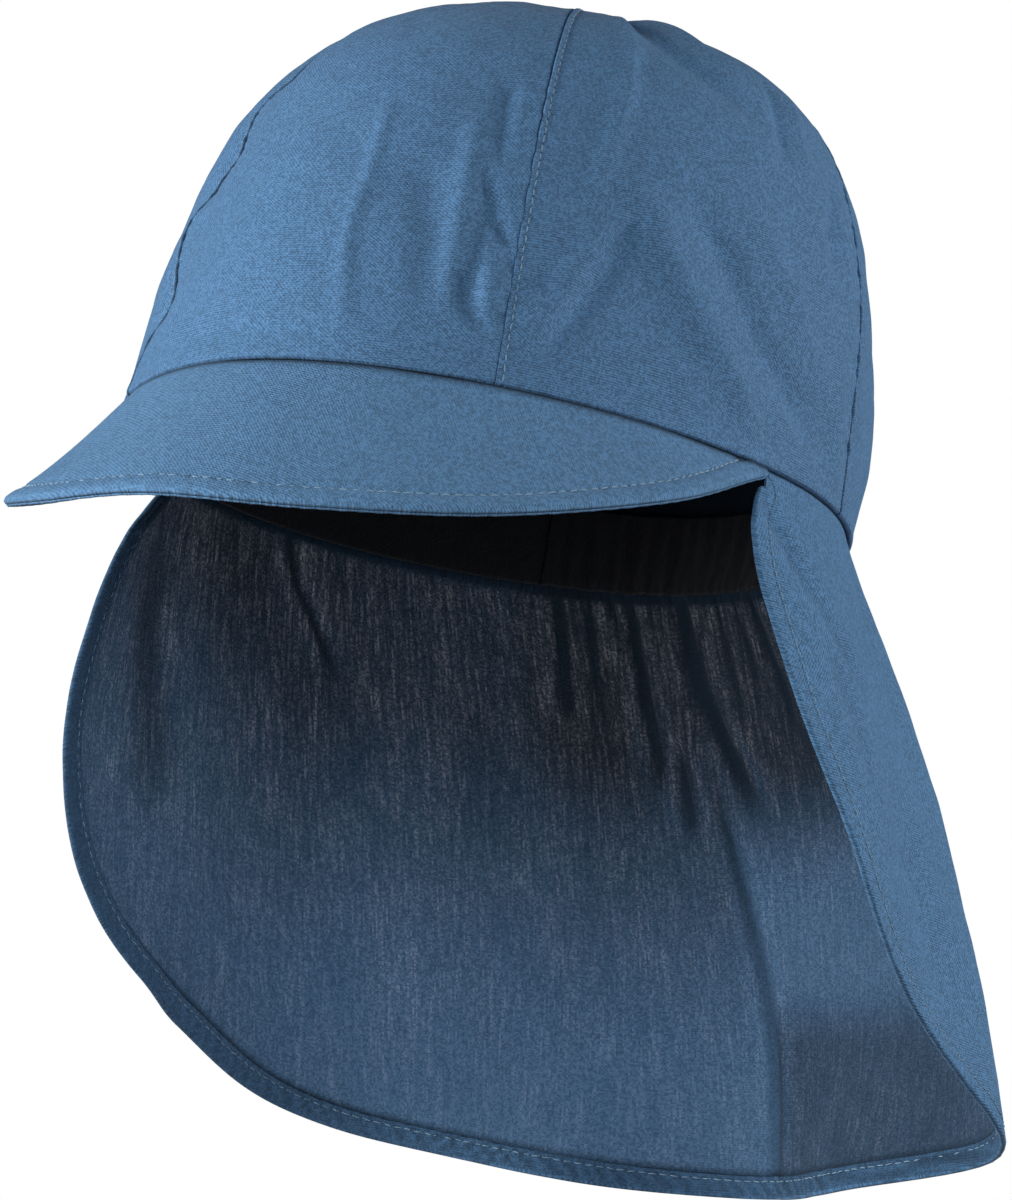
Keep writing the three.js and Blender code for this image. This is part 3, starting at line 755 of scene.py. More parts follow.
def thread_material(name, tint):
    material, shade = new_material(name)
    run, around, _ = shade.node("ShaderNodeUVMap", {"uv_map": "twist"}).parts()
    ply = (run * 18 + around * 6).sine()
    tone = 0.5 + ply * 0.3
    face = shade.blend(tone, deeper(tint, 0.7), tint)
    bump = shade.node("ShaderNodeBump", sockets={"Strength": 0.4, "Distance": 0.00005, "Height": ply})
    sockets = {"Base Color": face, "Roughness": 0.6, "Normal": bump, "Sheen Weight": 0.2}
    finish_material(shade, sockets)
    return material


def stitching(name, path, normals, pitch, length, thread=THREAD, seed=1):
    """A row of stitches along a path, each a short thread that dips into the cloth at both ends."""
    run = run_length(path)
    picks = np.random.default_rng(seed)
    rings, sides = 6, 7
    points, faces, twist = [], [], []
    for centre in np.arange(pitch * 0.5, run[-1] - length * 0.5, pitch):
        along = np.linspace(centre - length / 2, centre + length / 2, rings)
        spine = np.stack([np.interp(along, run, path[:, k]) for k in range(3)], -1)
        lift = unit(np.array([np.interp(centre, run, normals[:, k]) for k in range(3)]))
        ahead = unit(spine[-1] - spine[0])
        aside = unit(np.cross(ahead, lift))
        arch = np.sin(np.linspace(0, math.pi, rings))
        skew = picks.uniform(-0.07, 0.07) * length * np.linspace(-1, 1, rings) + picks.uniform(-0.04, 0.04)
        spine = spine + lift * (arch * thread * 1.1 - thread * 0.45)[:, None] + aside * skew[:, None]
        thick = thread * (0.55 + 0.45 * arch)
        angle = np.linspace(0, 2 * math.pi, sides, endpoint=False)
        round_it = aside * np.cos(angle)[:, None] + lift * np.sin(angle)[:, None] * 0.8
        first = len(points)
        for ring in range(rings):
            points.extend(spine[ring] + round_it * thick[ring])
            twist.extend((along[ring], a) for a in angle)
        for ring in range(rings - 1):
            for side in range(sides):
                a, b = first + ring * sides + side, first + ring * sides + (side + 1) % sides
                faces.append((a, b, b + sides, a + sides))
        faces.append(tuple(first + side for side in range(sides))[::-1])
        faces.append(tuple(first + (rings - 1) * sides + side for side in range(sides)))
    mesh = bpy.data.meshes.new(name)
    mesh.from_pydata(np.array(points) * MM, [], faces)
    add_uv(mesh, "twist", np.array(twist))
    mesh.polygons.foreach_set("use_smooth", np.ones(len(faces), bool))
    return placed(name, mesh)


crown_thread = thread_material("crown_thread", colour(136, 172, 202))


def seam_stitching(name, panel, side):
    share = np.linspace(EDGE_STEPS[4] / CROWN_CLIMB, 0.965, 500)
    width, squeeze = panel_width(panel, share)
    inset = STITCH_INSET * squeeze
    from_start = inset if side == "start" else width - inset
    turn = panel_turn(panel, share, from_start)
    normal = crown_facing(turn, share)
    height, _ = panel_height(panel, turn, share, from_start / squeeze, (width - from_start) / squeeze)
    path = crown_base(turn, share) + normal * height[:, None]
    piece = stitching(name, path, normal, CROWN_PITCH, 1.85)
    settle(piece, crown_thread, "crown_cloth")
    return piece


# The cut of each panel with 7 mm seam allowances: width, length and how much of that rectangle the
# tapered cut fills. The back ones are cut wider for the gathers.
PANEL_CUTS = {
    "crown_front_panel": (110, 179, 0.63),
    "crown_left_panel": (112, 169, 0.69),
    "crown_back_left_panel": (133, 160, 0.67),
    "crown_back_right_panel": (133, 160, 0.67),
    "crown_right_panel": (112, 169, 0.69),
}


def declare_sheet(cut):
    """Works out the flat size and area of a cloth piece's cut from its sizes in millimetres, and uses
    neither.
    """
    width, length, filled = cut
    flat = (width * MM, length * MM)
    area = flat[0] * flat[1] * filled


for panel in PANELS:
    seams_sewn = [seam_stitching(f"{panel[0]}_{side}_stitching", panel, side) for side in panel[3]]
    declare_sheet(PANEL_CUTS[panel[0]])

# Peak: an upper and an under cloth sewn edge to edge, turned out and topstitched 5 mm in. Its root
# is sewn under the crown's rolled edge, and its soft edge hangs lower on the wearer's left.
PEAK_END = 77.5
PEAK_EDGE = [
    (-1, -77, 16, -3.4),
    (-0.75, -79, 58, 0.8),
    (-0.5, -60, 97, 2.2),
    (-0.25, -33, 122, 2.2),
    (0, 0, 131, 1),
    (0.25, 33, 122, 4),
    (0.5, 62, 98, 5.4),
    (0.75, 79.5, 58, 2.2),
    (1, 77, 16, -3.4),
]
PEAK_STITCH_INSET = 5
PEAK_ROLL = 0.9
ROOT_TUCK = 1.0

# Seam allowances that run up between crown and band: their rise over the rim, and how deep the middle
# of the cloth lies inside the crown
ALLOWANCE_ROWS = [(0.6, 1.66), (1.5, 1.7), (2.6, 1.7)]


def up_the_allowance(turn, offset):
    """Rows of points up the seam allowance inside the crown, that much deeper than its middle."""
    added = []
    for rise, depth in ALLOWANCE_ROWS:
        share = np.full_like(turn, rise) / CROWN_CLIMB
        height = crown_folds(turn, share) - (depth + offset)
        added.append(crown_base(turn, share) + crown_facing(turn, share) * height[..., None])
    return added


def peak_outline(turn):
    part = np.asarray(turn, float) / PEAK_END
    across, ahead, below = (read_table(PEAK_EDGE, column, part) for column in (1, 2, 3))
    return np.stack([across, -ahead, -below], -1)


def peak_root(turn):
    return crown_base(turn, 0) - RIM_UP * GAP


def peak_base(turn, across):
    turn, across = matched(turn, across)
    root = peak_root(turn)
    return root + (peak_outline(turn) - root) * across[..., None]


def peak_reach(turn):
    """Width of the peak from its root to its outer edge."""
    return np.linalg.norm(peak_outline(turn) - peak_root(turn), axis=-1)


def peak_facing(turn, across):
    turn, across = np.clip(turn, 1 - PEAK_END, PEAK_END - 1), np.clip(across, 0.1, 0.9)
    return -facing(peak_base, turn, across, 0.5, 0.05)


peak_rim_line = peak_outline(np.linspace(-PEAK_END, PEAK_END, 700))
peak_rim_run = run_length(peak_rim_line)


def from_line(points, line, run):
    """Distance of each point from a line, and the run along the line there."""
    flat = points.reshape(-1, 3)
    nearest = np.empty(len(flat), int)
    distance = np.empty(len(flat))
    for first in range(0, len(flat), 4000):
        gaps = np.linalg.norm(flat[first : first + 4000, None] - line[None], axis=-1)
        nearest[first : first + 4000] = gaps.argmin(1)
        distance[first : first + 4000] = gaps.min(1)
    return distance.reshape(points.shape[:-1]), run[nearest].reshape(points.shape[:-1])


def peak_sag(turn, across):
    """How far the peak's cloth sags between root and edge, most on the wearer's right."""
    return 1.4 * np.sin(math.pi * across) * bell(turn + 52, 24)


def peak_unevenness(base):
    return 0.22 * unevenness(base[..., 0], base[..., 1], 16, 21)


def peak_sheet(name, node, top, thick, material, upper):
    """One layer of the peak, whose upper face lies that far below the top."""
    turn = np.linspace(-PEAK_END, PEAK_END, 260)[None, :]
    reach = peak_reach(turn)
    near = np.minimum(EDGE_STEPS[:, None] / np.maximum(reach, 0.5), 0.45)
    inner = np.linspace(1, 0, 34)[1:, None]
    across = np.concatenate([1 - near, (1 - near[-1:]) * inner])
    base = peak_base(turn, across)
    distance, run = from_line(base, peak_rim_line, peak_rim_run)
    normal = peak_facing(turn, across)
    roll = rolled(distance, PEAK_ROLL) * thick * 0.8
    soft = peak_unevenness(base) * ramp(0, 6, distance)
    ridge = 0.3 * fall(2.5, 5, distance) * ramp(0, 1.4, distance)
    groove = 0.3 * bell(distance - PEAK_STITCH_INSET, 0.7)
    quilt = ridge - groove
    pucker = np.sin(run * 2 * math.pi / 6.5 + 2 * unevenness(run, 0, 19, 22))
    pucker = 0.12 * pucker * bell(distance - 4, 3)
    shape = -peak_sag(turn, across) + soft + pucker
    if upper:
        right_height, wrong_height = shape + quilt - roll, shape - thick
    else:
        right_height, wrong_height = shape - quilt * 0.6 + roll - top - thick, shape - top
    right_side = base + normal * right_height[..., None]
    wrong_side = base + normal * wrong_height[..., None]
    if upper:
        tuck = -outward(turn) * ROOT_TUCK
        right_side = np.concatenate([right_side, right_side[-1:] + tuck])
        wrong_side = np.concatenate([wrong_side, wrong_side[-1:] + tuck])
    else:
        right_side = np.concatenate([right_side] + up_the_allowance(turn, thick / 2))
        wrong_side = np.concatenate([wrong_side] + up_the_allowance(turn, -thick / 2))
    weave = np.stack([base[..., 0], base[..., 1]], -1)
    edges = np.stack([distance, run], -1)
    added = len(right_side) - len(weave)
    # Painted shadow on the peak's root, under the crown's rolled edge
    shade_under_crown = 0.9 * bell(np.linalg.norm(base - peak_root(turn), axis=-1), 1.1)
    marks = [np.concatenate([grid] + [grid[-1:]] * added) for grid in (weave, edges, shade_under_crown)]
    grids = [grid[:, ::-1] for grid in (right_side, wrong_side, *marks)]
    if upper:
        grids = [grid[::-1] for grid in grids]
    piece = cloth_mesh(name, *grids[:4], shade=(grids[4], 0))
    settle(piece, material, "peak_cloth", node)
    return piece


PEAK_UPPER = 1.1
PEAK_UNDER = 0.75
PEAK_LAYER_GAP = 0.15
PEAK_PITCH = 2.55
# The crown's cotton painted lighter for both peak layers: painted light, standing for the light that falls
# on the peak
lit_peak_cotton = cotton("lit_peak_cotton", colour(98, 142, 184), PEAK_STITCH_INSET, PEAK_PITCH, 0.9)
peak_top = peak_sheet("peak_top_cloth", "peak_top", 0, PEAK_UPPER, lit_peak_cotton, True)
peak_under = peak_sheet(
    "peak_under_cloth", "peak_underside", PEAK_UPPER + PEAK_LAYER_GAP, PEAK_UNDER, lit_peak_cotton, False
)

# Peak topstitching: a row of paler cotton thread, sewn through both layers once they are turned out.
# It runs parallel to the outer edge and holds it flat.
peak_thread = thread_material("peak_thread", colour(156, 194, 222))


def peak_stitch_path():
    """The line of the stitches inside the peak's outer edge, from end to end, and how it faces."""
    turn = np.linspace(1.5 - PEAK_END, PEAK_END - 1.5, 900)
    tangent = unit(np.gradient(peak_outline(turn), axis=0))
    reach = peak_reach(turn)
    slant = np.linalg.norm(np.cross(tangent, unit(peak_outline(turn) - peak_root(turn))), axis=-1)
    across = 1 - PEAK_STITCH_INSET / np.maximum(reach * slant, 1e-6)
    keep = across > 0.04
    turn, across = turn[keep], across[keep]
    base = peak_base(turn, across)
    normal = peak_facing(turn, across)
    height = peak_unevenness(base) - peak_sag(turn, across) - 0.25
    return base + normal * height[:, None], normal


peak_path, peak_normals = peak_stitch_path()
peak_stitches = stitching("peak_stitching", peak_path, peak_normals, PEAK_PITCH, 2.1, seed=5)
settle(peak_stitches, peak_thread, "peak_cloth")
PEAK_CUT = (175, 125, 0.51)
declare_sheet(PEAK_CUT)
declare_sheet(PEAK_CUT)

# Neck flap: one thin layer of the same cotton, gathered into the rim at the back and hanging from it
# behind the peak's ends. Its cut edge is folded inside and sewn down as a narrow hem.
FLAP_CLOTH = 0.66
FLAP_INSET = 1
FLARE_STEP = 60
HEM_WIDTH = 5
HEM_SHARE = 0.95
HEM_STITCH_INSET = 3.9
FLAP_PITCH = 2.5

# How far the flap stands out from the rim, 60 mm and 120 mm below it, by its turn
FLAP_FLARE = [
    (70, 23, 33),
    (85, 20, 23),
    (105, 13, 26),
    (130, 23, 34),
    (155, 21, 18),
    (180, 16, 27),
]

# The flap's cut edge from the wearer's left temple to the middle of the back: its turn, its drop
# below the rim and the turn on the rim that the cloth there hangs from
FLAP_EDGE = [
    (79, 0, 78.5),
    (74.3, 8, 79.3),
    (71, 16, 80.5),
    (70, 31, 83),
    (74, 61, 88),
    (87, 96, 96),
    (108, 116, 110),
    (128, 129, 130),
    (157, 133, 156),
    (180, 135, 180),
]

# Folds of the flap: turn and drop of points along each one, half width and height
FLAP_FOLDS = {
    "middle crease": ([(179.5, 34), (177, 58), (175, 78), (174, 100), (174.5, 125), (175, 150)], 1.3, 0.8),
    "slope to the crease": ([(180, 20), (178, 58), (176, 78), (175, 110), (176, 160)], 5, 0.5),
    "fold below the gathers": ([(190, -8), (189, 10), (188, 22), (187, 36), (186.5, 46)], 1.6, 1.5),
    "branch of the fold": ([(193, -5), (191.5, 6), (189, 16)], 1.3, 0.9),
    "second fold": ([(180, -12), (179, 14), (177, 30), (174, 42), (172, 52)], 3.2, 1.6),
    "end of the second fold": ([(178, 20), (175.6, 34), (173, 46)], 1.4, 1),
    "third fold": ([(184, 30), (183.5, 42), (183, 56)], 1.6, 0.8),
    "fold at the end of the gathers": ([(202, -8), (201, 8), (201, 18), (200.5, 32)], 1.7, 0.9),
    "fold at the other end": ([(166, -8), (164.5, 12), (163, 34)], 1.8, 0.9),
    "curved crease": ([(250.5, -6), (247, 8), (243, 15), (239, 22), (235, 30)], 1.6, 0.9),
    "level crease": ([(232, 11.5), (227, 9.5), (218, 7.5), (208, 9), (202, 10.5)], 1.1, 0.5),
    "temple fold": ([(279, 0), (275, 20), (271, 38), (268, 52), (266, 76)], 6, 1.2),
    "hollow by the front edge": ([(74, 0), (77, 14), (81, 25), (88, 35), (94, 46)], 3.2, -1.4),
    "foot of that hollow": ([(80, 28), (84, 46), (89, 68)], 4, -1),
    "left side drape": ([(100, 4), (106, 48), (113, 104)], 9, 1.8),
    "right side drape": ([(262, 2), (257, 45), (251, 96)], 10, 1.2),
    "right back hollow": ([(225, 10), (223, 70), (222, 130)], 12, -2),
}
FRONT_OF_THE_ROLL = (228, 238)
END_OF_THE_ROLL = (256, 266)

flare_table = FLAP_FLARE + [(360 - turn, middle, foot) for turn, middle, foot in FLAP_FLARE[-2::-1]]
edge_turns = FLAP_EDGE + [(360 - turn, down, 360 - rim) for turn, down, rim in FLAP_EDGE[-2::-1]]
edge_table = [(step, *row) for step, row in enumerate(edge_turns)]
LAST_STEP = len(edge_table) - 1


def flap_base(turn, down):
    turn, down = matched(turn, down)
    middle, foot = read_table(flare_table, 1, turn), read_table(flare_table, 2, turn)
    bend = (foot - 2 * middle) / 2
    steps = down / FLARE_STEP
    reach = (middle - bend) * steps + bend * steps**2 - FLAP_INSET
    hung = crown_base(turn, 0) + outward(turn) * reach[..., None] - RIM_UP * GAP
    return hung - np.stack([0 * down, 0 * down, down], -1)


def flap_facing(turn, down):
    return -facing(flap_base, turn, np.maximum(down, 1), 0.5, 0.5)


def edge_place(step):
    return np.stack([read_table(edge_table, 1, step), read_table(edge_table, 2, step)], -1)


def hem_place(step):
    from_temple = np.minimum(step, LAST_STEP - step)
    width = HEM_WIDTH * (0.2 + 0.8 * ramp(1, 1.6, from_temple))
    along = edge_place(step + 0.1) - edge_place(step - 0.1)
    inward = unit(np.stack([along[..., 1], -along[..., 0] * DEGREE], -1)) * width[..., None]
    return edge_place(step) + inward / np.array([DEGREE, 1])


def flap_place(step, drop):
    """Turn and drop of a place on the flap, from the rim at 0 through the hem line to the edge at 1."""
    step, drop = matched(step, drop)
    rim = np.stack([read_table(edge_table, 3, step), 0 * step], -1)
    body = rim + (hem_place(step) - rim) * (drop / HEM_SHARE)[..., None]
    across_hem = ((drop - HEM_SHARE) / (1 - HEM_SHARE))[..., None]
    hem = hem_place(step) + (edge_place(step) - hem_place(step)) * across_hem
    return np.where((drop > HEM_SHARE)[..., None], hem, body)


def flap_fold(name, turn, down):
    points, half_width, _ = FLAP_FOLDS[name]
    return fold_share(turn * DEGREE, down, [(along * DEGREE, drop) for along, drop in points], half_width)


def flap_height(turn, down):
    height = gather_height(turn, down)
    for name, (_, _, tall) in FLAP_FOLDS.items():
        height = height + tall * flap_fold(name, turn, down)
    x = turn * DEGREE
    soft = 0.5 * unevenness(x, down * 0.6, 15, 31) + 0.14 * unevenness(x + 0.5 * down, down, 6, 32)
    return height + soft * ramp(0, 10, down)


def edge_roll(turn, distance):
    """The cut edge rolls a little outwards below the wearer's right ear."""
    where = between(FRONT_OF_THE_ROLL, END_OF_THE_ROLL, turn)
    return 3 * where * fall(0, 8, distance)


FIRST_STEP = 0.5
flap_outline_steps = np.linspace(FIRST_STEP, LAST_STEP - FIRST_STEP, 1400)
flap_outline_places = edge_place(flap_outline_steps)
flap_outline = flap_base(flap_outline_places[:, 0], flap_outline_places[:, 1])
flap_outline_run = run_length(flap_outline)


def hem_pucker(turn, run, distance):
    """Slanting puckers that the stitching draws up across the hem, behind the wearer's left ear."""
    slanted = run - 1.1 * distance
    wave = np.sin(2 * math.pi * (slanted / 4.6 + 0.5 * unevenness(run, 0, 11, 41)))
    wave = wave * (0.55 + 0.45 * unevenness(run, 9, 17, 42))
    return wave * between((0.2, 1.6), (3.5, 6.5), distance) * ramp(100, 130, turn)


# Rows of the flap's mesh down to the hem line, on to the edge, round the fold and back up the hem
BODY_ROWS = 86
EDGE_ROWS = 7
FOLD_ROWS = 9
HEM_ROWS = 11
FOLD_RADIUS = 0.4


def flap_rows():
    """The cloth's way down the flap, round the fold at its edge and back up the hem: the place
    between rim and edge, and the depth inside the flap's outer face."""
    half = FLAP_CLOTH / 2
    even = np.linspace(0, 1, BODY_ROWS)
    drops = list(HEM_SHARE * even * (0.7 + 0.3 * even))
    drops += list(HEM_SHARE + (1 - HEM_SHARE) * np.linspace(0, 1, EDGE_ROWS + 2)[1:-1])
    path = [(drop, half) for drop in drops]
    for angle in np.linspace(0, math.pi, FOLD_ROWS):
        inset = FOLD_RADIUS * (1 - math.sin(angle)) / HEM_WIDTH * (1 - HEM_SHARE)
        path.append((1 - inset, half + FOLD_RADIUS * (1 - math.cos(angle))))
    up_the_hem = 1 - (1 - HEM_SHARE) * np.linspace(0, 1, HEM_ROWS + 1)[1:]
    return np.array(path + [(drop, half + 2 * FOLD_RADIUS) for drop in up_the_hem])


def flap_columns():
    """Steps along the flap's edge, closest at its ends, at the gathers and along the puckers."""
    return np.concatenate([
        np.linspace(FIRST_STEP, 1.6, 30)[:-1],
        np.linspace(1.6, 8, 66)[:-1],
        np.linspace(8, LAST_STEP - 8, 94),
        np.linspace(LAST_STEP - 8, LAST_STEP - 1.6, 190)[1:],
        np.linspace(LAST_STEP - 1.6, LAST_STEP - FIRST_STEP, 30)[1:],
    ])


def light_through(turn, down):
    """How much painted glow stands for daylight through the flap, seen from inside: more towards its foot,
    and from higher up at the wearer's right temple, but less in the fold there and behind the middle
    crease."""
    dawn = 74 - 8 * ramp(185, 215, turn) - 34 * ramp(240, 278, turn)
    light = ramp(dawn - 40, dawn + 45, down) * (1 - 0.25 * ramp(225, 265, turn))
    crease = read_table([(drop, along) for along, drop in FLAP_FOLDS["middle crease"][0]], 1, down)
    behind = fall(crease - 0.9, crease + 0.2, turn)
    left = ramp(38, 74, down) * (1 - 0.72 * ramp(84, 102, down))
    return (light + (left - light) * behind) * (1 - 0.65 * flap_fold("temple fold", turn, down))


def with_allowance(grid, within=None):
    """A grid of values led on up the allowance inside the crown, there at one value if it is given."""
    first = grid[:1] if within is None else np.full_like(grid[:1], within)
    return np.concatenate([first] * len(ALLOWANCE_ROWS) + [grid])[::-1]


BESIDE = 2.4
ALLOWANCE_SHADE = 0.96


def flap_marks(turn, down, distance, lie, puckered, turned_in):
    """Painted shade, a painted glow of daylight and painted bright points of light for the flap's outer
    face and its inner one, where what stands outwards is a hollow and is painted darker. Turned_in is 1 on
    the hem, which belongs to the outer face."""
    # Painted shade in hollows, from how far a place stands out from the cloth beside it
    hollow = lie - (flap_height(turn - BESIDE, down) + flap_height(turn + BESIDE, down)) / 2
    hollow = np.clip(hollow / 0.5, -1, 1)
    # Painted shadow along the inner edge of the hem's fold
    hem_edge_shadow = bell(distance - HEM_WIDTH - 0.2, 0.4)
    single = ramp(HEM_WIDTH, HEM_WIDTH + 0.8, distance)
    # Painted shade on the hem: darker in the hollows of its puckers and under the peak
    hem_shade = 0.68 - 0.3 * puckered + 0.2 * fall(0, 16, down)
    outer_shade = 0.12 * np.clip(-hollow, 0, 1) * (1 - turned_in) + turned_in * np.clip(hem_shade, 0, 1)
    # Painted shade deep in the gathers, and painted dimming by the wearer's right temple and low down
    # behind the middle crease
    in_gathers = between((150, 160), (200, 210), turn) * fall(20, 60, down)
    dimmed = 0.06 * ramp(248, 262, turn) + 0.1 * fall(172, 176, turn) * ramp(84, 102, down)
    inner_shade = np.clip(0.82 + 0.14 * hollow + 0.08 * hem_edge_shadow + 0.28 * in_gathers + dimmed, 0, 1)
    # Painted glow for daylight through the single layer and, more faintly, through the hem, less along the
    # hem's edge
    daylight = light_through(turn, down)
    hem_glow = turned_in * daylight * (0.34 + 0.3 * ramp(225, 255, turn))
    glow = daylight * single * (1 - 0.5 * hem_edge_shadow)
    # Bright points of light painted between the threads, fewer in hollows and in the gathers
    pinhole_glow = single * np.clip(1 - (0.9 + 0.3 * in_gathers) * hollow, 0.06, 1.4) * ramp(0, 1.5, down)
    return {
        "shade": (with_allowance(outer_shade), with_allowance(inner_shade, ALLOWANCE_SHADE)),
        "glow": (with_allowance(hem_glow, 0), with_allowance(glow, 0)),
        "pinhole_glow": (0, with_allowance(pinhole_glow, 0)),
    }


def flap_sheet(material):
    """The flap and its hem as one sheet, folded at its edge and led up into the crown's rim."""
    rows = flap_rows()
    row = np.arange(len(rows))[:, None]
    place = flap_place(flap_columns()[None, :], rows[:, :1])
    turn, down = place[..., 0], place[..., 1]
    base = flap_base(turn, down)
    distance, run = from_line(base, flap_outline, flap_outline_run)
    on_hem = row >= BODY_ROWS + EDGE_ROWS
    puckered = hem_pucker(turn, run, distance)
    pucker = puckered * np.where(on_hem, 0.5, 0.14)
    seated = 0.16 * bell(distance - HEM_STITCH_INSET, 0.6) * np.where(on_hem, -1, 1)
    lie = flap_height(turn, down) + edge_roll(turn, distance)
    middle = base + flap_facing(turn, down) * (lie + pucker - seated - rows[:, 1:])[..., None]
    middle = np.concatenate(up_the_allowance(turn[:1], 0)[::-1] + [middle])
    half = unit(np.cross(np.gradient(middle, axis=0), np.gradient(middle, axis=1))) * FLAP_CLOTH / 2
    spread_out = 45 + np.linalg.norm(base[..., :2], axis=-1) / 2
    weave = np.stack([np.radians(turn - CENTRE_BACK) * spread_out, down + rows[:, 1:]], -1)
    weave, edge = with_allowance(weave), with_allowance(np.stack([distance, run], -1))
    turned_in = ramp(0, 5, row - (BODY_ROWS + EDGE_ROWS + 5) + 5 * ramp(200, 240, turn))
    marks = flap_marks(turn, down, distance, lie, puckered, turned_in)
    outer, inner = (middle + half)[::-1], (middle - half)[::-1]
    piece = cloth_mesh("neck_flap_cloth", outer, inner, weave, edge, **marks)
    settle(piece, material, "flap_cloth", "neck_flap", "flap_hem")
    return piece


# Daylight that comes through the thin cloth, painted as a glow: the tone of lit cloth, and of the points
# between threads
THROUGH_CLOTH = (0.028, 0.06, 0.112, 1)
THROUGH_HOLES = (0.064, 0.064, 0.073, 1)
FLAP_BLUE = colour(88, 132, 174)
daylight_colours = (THROUGH_CLOTH, THROUGH_HOLES)
flap_cotton = cotton("flap_cotton", FLAP_BLUE, HEM_STITCH_INSET, FLAP_PITCH, 1.25, daylight_colours)
flap = flap_sheet(flap_cotton)

# Hem stitching: a row of paler cotton thread that holds the flap's folded edge down. It shows on the
# flap's outer face and, through the fold, on its inner one.
flap_thread = thread_material("flap_thread", colour(150, 188, 216))


def hem_stitching(name, depth, way, puff):
    """Stitches on one face of the hem: how deep they lie in it, which way they face and how far they
    ride up on its puckers."""
    steps = np.linspace(1.25, LAST_STEP - 1.25, 1500)
    inward = hem_place(steps) - edge_place(steps)
    place = edge_place(steps) + inward * (HEM_STITCH_INSET / HEM_WIDTH)
    turn, down = place[:, 0], place[:, 1]
    base, normal = flap_base(turn, down), flap_facing(turn, down)
    distance, run = from_line(base, flap_outline, flap_outline_run)
    height = flap_height(turn, down) + edge_roll(turn, distance)
    height = height + hem_pucker(turn, run, distance) * puff - depth
    path = base + normal * height[:, None]
    piece = stitching(f"hem_stitching_{name}", path, normal * way, FLAP_PITCH, 2.0, 0.15, seed=7)
    settle(piece, flap_thread, "flap_cloth")
    return piece


hem_threads = [
    hem_stitching("outer", 0.12, 1, 0.1),
    hem_stitching("inner", 2 * FLAP_CLOTH + 0.02, -1, 0.3),
]
FLAP_CUT = (430, 152, 0.77)
declare_sheet(FLAP_CUT)

# Inner band: dark cotton tape sewn inside the rim, smooth round the front and sides. At the back it
# is a casing drawn up on elastic, which stands in upright ribs.
BAND_DEPTH = 2.15
BAND_CLOTH = 0.9
BAND_HEIGHT = 24
GATHER_START = 156
GATHER_END = 204
CASING_RIB = 0.8
RIB_SPACING = 3.6
INK = colour(44, 45, 50)


def band_cotton():
    material, shade = new_material("band_cotton")
    weave = shade.node("ShaderNodeUVMap", {"uv_map": "weave"})
    x, y, _ = weave.parts()
    slub = shade.cloud(shade.place(x, y * 0.15), 2.2, 2.0)
    twill = ((x + y) * (2 * math.pi / 0.8) + slub * 2).sine()
    tone = 0.5 + (slub - 0.5) * 0.9 + twill * 0.12
    face = shade.blend(tone.rise(0, 1), deeper(INK, 0.6), deeper(INK, 1.7))
    height = twill + slub * 2
    bump = shade.node("ShaderNodeBump", sockets={"Strength": 0.4, "Distance": 0.00015, "Height": height})
    sockets = {"Base Color": face, "Roughness": 0.9, "Normal": bump, "Specular IOR Level": 0.2}
    finish_material(shade, sockets)
    return material


ink_cotton = band_cotton()


def band_stretch(name, node, first_turn, last_turn, rib):
    """A stretch of the band between two turns, with upright ribs of that height."""
    columns = int((last_turn - first_turn) * (3.2 if rib else 1.1))
    turn = np.linspace(first_turn, last_turn, columns)[None, :]
    near = np.array([0.3, 0.38, 0.55, 0.85, 1.3])
    rise = np.concatenate([near, np.linspace(2, BAND_HEIGHT - 1.3, 26), BAND_HEIGHT - near[3::-1]])
    rise = rise[:, None]
    share = rise / CROWN_CLIMB
    base, normal = crown_base(turn, share), crown_facing(turn, share)
    body = crown_folds(turn, share)
    roll = 0.4 * rolled(np.minimum(rise - near[0], BAND_HEIGHT - near[0] - rise), 0.5)
    phase = turn + 0.6 * unevenness(turn * 1.3, rise * 0.2, 4, 51)
    wave = 0.5 + 0.5 * np.cos(2 * math.pi * (phase - CENTRE_BACK) / RIB_SPACING)
    ribs = rib * wave * np.sin(math.pi * np.clip(rise / BAND_HEIGHT, 0, 1)) ** 0.4
    inner = base + normal * (body - BAND_DEPTH - BAND_CLOTH - ribs + roll)[..., None]
    outer = base + normal * (body - BAND_DEPTH - roll)[..., None]
    weave = np.stack([turn * DEGREE + 0 * rise, rise + 0 * turn], -1)
    edges = np.stack([np.full_like(body, UNSTITCHED), rise + 0 * turn], -1)
    piece = cloth_mesh(name, outer, inner, weave, edges)
    settle(piece, ink_cotton, "band_cloth", node)
    return piece


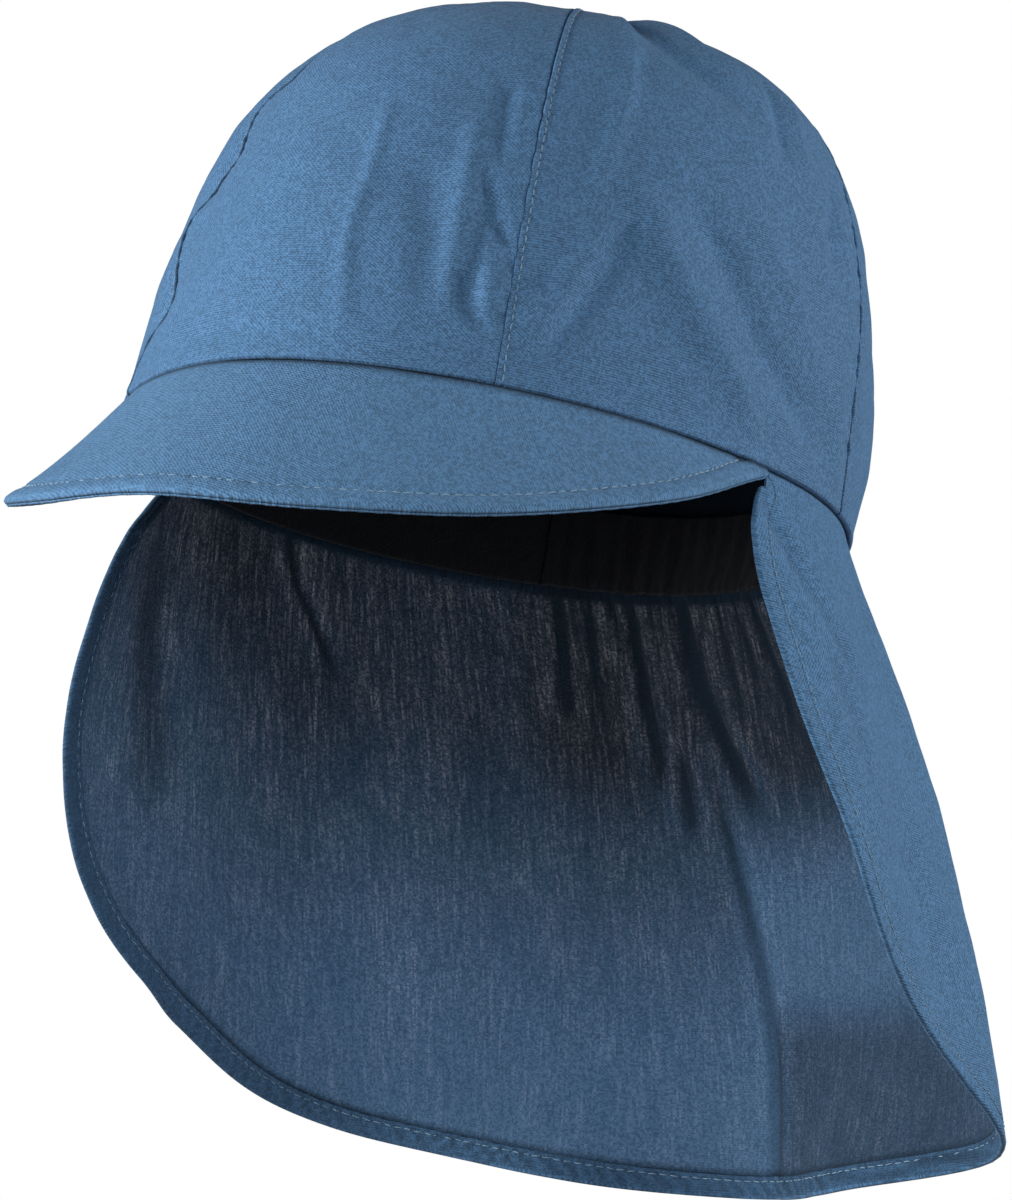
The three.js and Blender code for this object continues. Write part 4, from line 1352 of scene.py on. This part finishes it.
band_gap = math.degrees(GAP / 2 / BACK_REACH)
casing_start, casing_end = GATHER_START + band_gap, GATHER_END - band_gap
band_start, band_end = GATHER_END - 360 + band_gap, GATHER_START - band_gap
band = band_stretch("inner_band_tape", "inner_band", band_start, band_end, 0)
casing = band_stretch("elastic_casing_tape", "elastic_casing", casing_start, casing_end, CASING_RIB)
declare_sheet((447, BAND_HEIGHT, 1))
declare_sheet((78, BAND_HEIGHT, 1))

# Studio: large soft lights low on both sides and in front, and a pale round of floor well below the
# cap that fades into the white room
FLOOR_DROP = 260
FLOOR_RADIUS = 1200


def soft_light(name, azimuth, elevation, distance, size, power):
    back, _, _ = view_axes(azimuth, elevation)
    data = bpy.data.lights.new(name, "AREA")
    data.shape = "DISK"
    data.size = size * MM
    data.energy = power
    aimed(name, data, back * distance * MM, Vector())


soft_light("right_light", -45, 12, 1500, 800, 19.4)
soft_light("front_light", 20, 12, 1500, 800, 8.4)
soft_light("left_light", 128, 12, 1500, 800, 14)

floor_mesh = bpy.data.meshes.new("floor")
ring = [(math.cos(a) * FLOOR_RADIUS * MM, math.sin(a) * FLOOR_RADIUS * MM, -FLOOR_DROP * MM)
        for a in np.linspace(0, 2 * math.pi, 96, endpoint=False)]
floor_mesh.from_pydata(ring, [], [tuple(range(len(ring)))])
floor = placed("floor", floor_mesh)
floor_paint, paint = new_material("floor_paint")
across, along, _ = paint.node("ShaderNodeNewGeometry").parts()
from_middle = (across * across + along * along).maths("SQRT")
paleness = paint.blend(from_middle.rise(0.3, 0.95), (0.6, 0.6, 0.6, 1), (1, 1, 1, 1))
finish_material(paint, {
    "Base Color": (0.9, 0.9, 0.9, 1),
    "Roughness": 0.9,
    "Emission Color": paleness,
    "Emission Strength": 1.0,
})
floor.visible_diffuse = False
floor_mesh.materials.append(floor_paint)

world = bpy.data.worlds.new("studio")
world.use_nodes = True
bpy.context.scene.world = world
studio = Shade(world.node_tree)
backdrop = world.node_tree.nodes["Background"]
backdrop.inputs["Color"].default_value = (1, 1, 1, 1)
seen = studio.node("ShaderNodeLightPath")
world.node_tree.links.new((seen * 0.96 + 0.04).socket, backdrop.inputs["Strength"])
bpy.context.scene.view_settings.view_transform = "Standard"
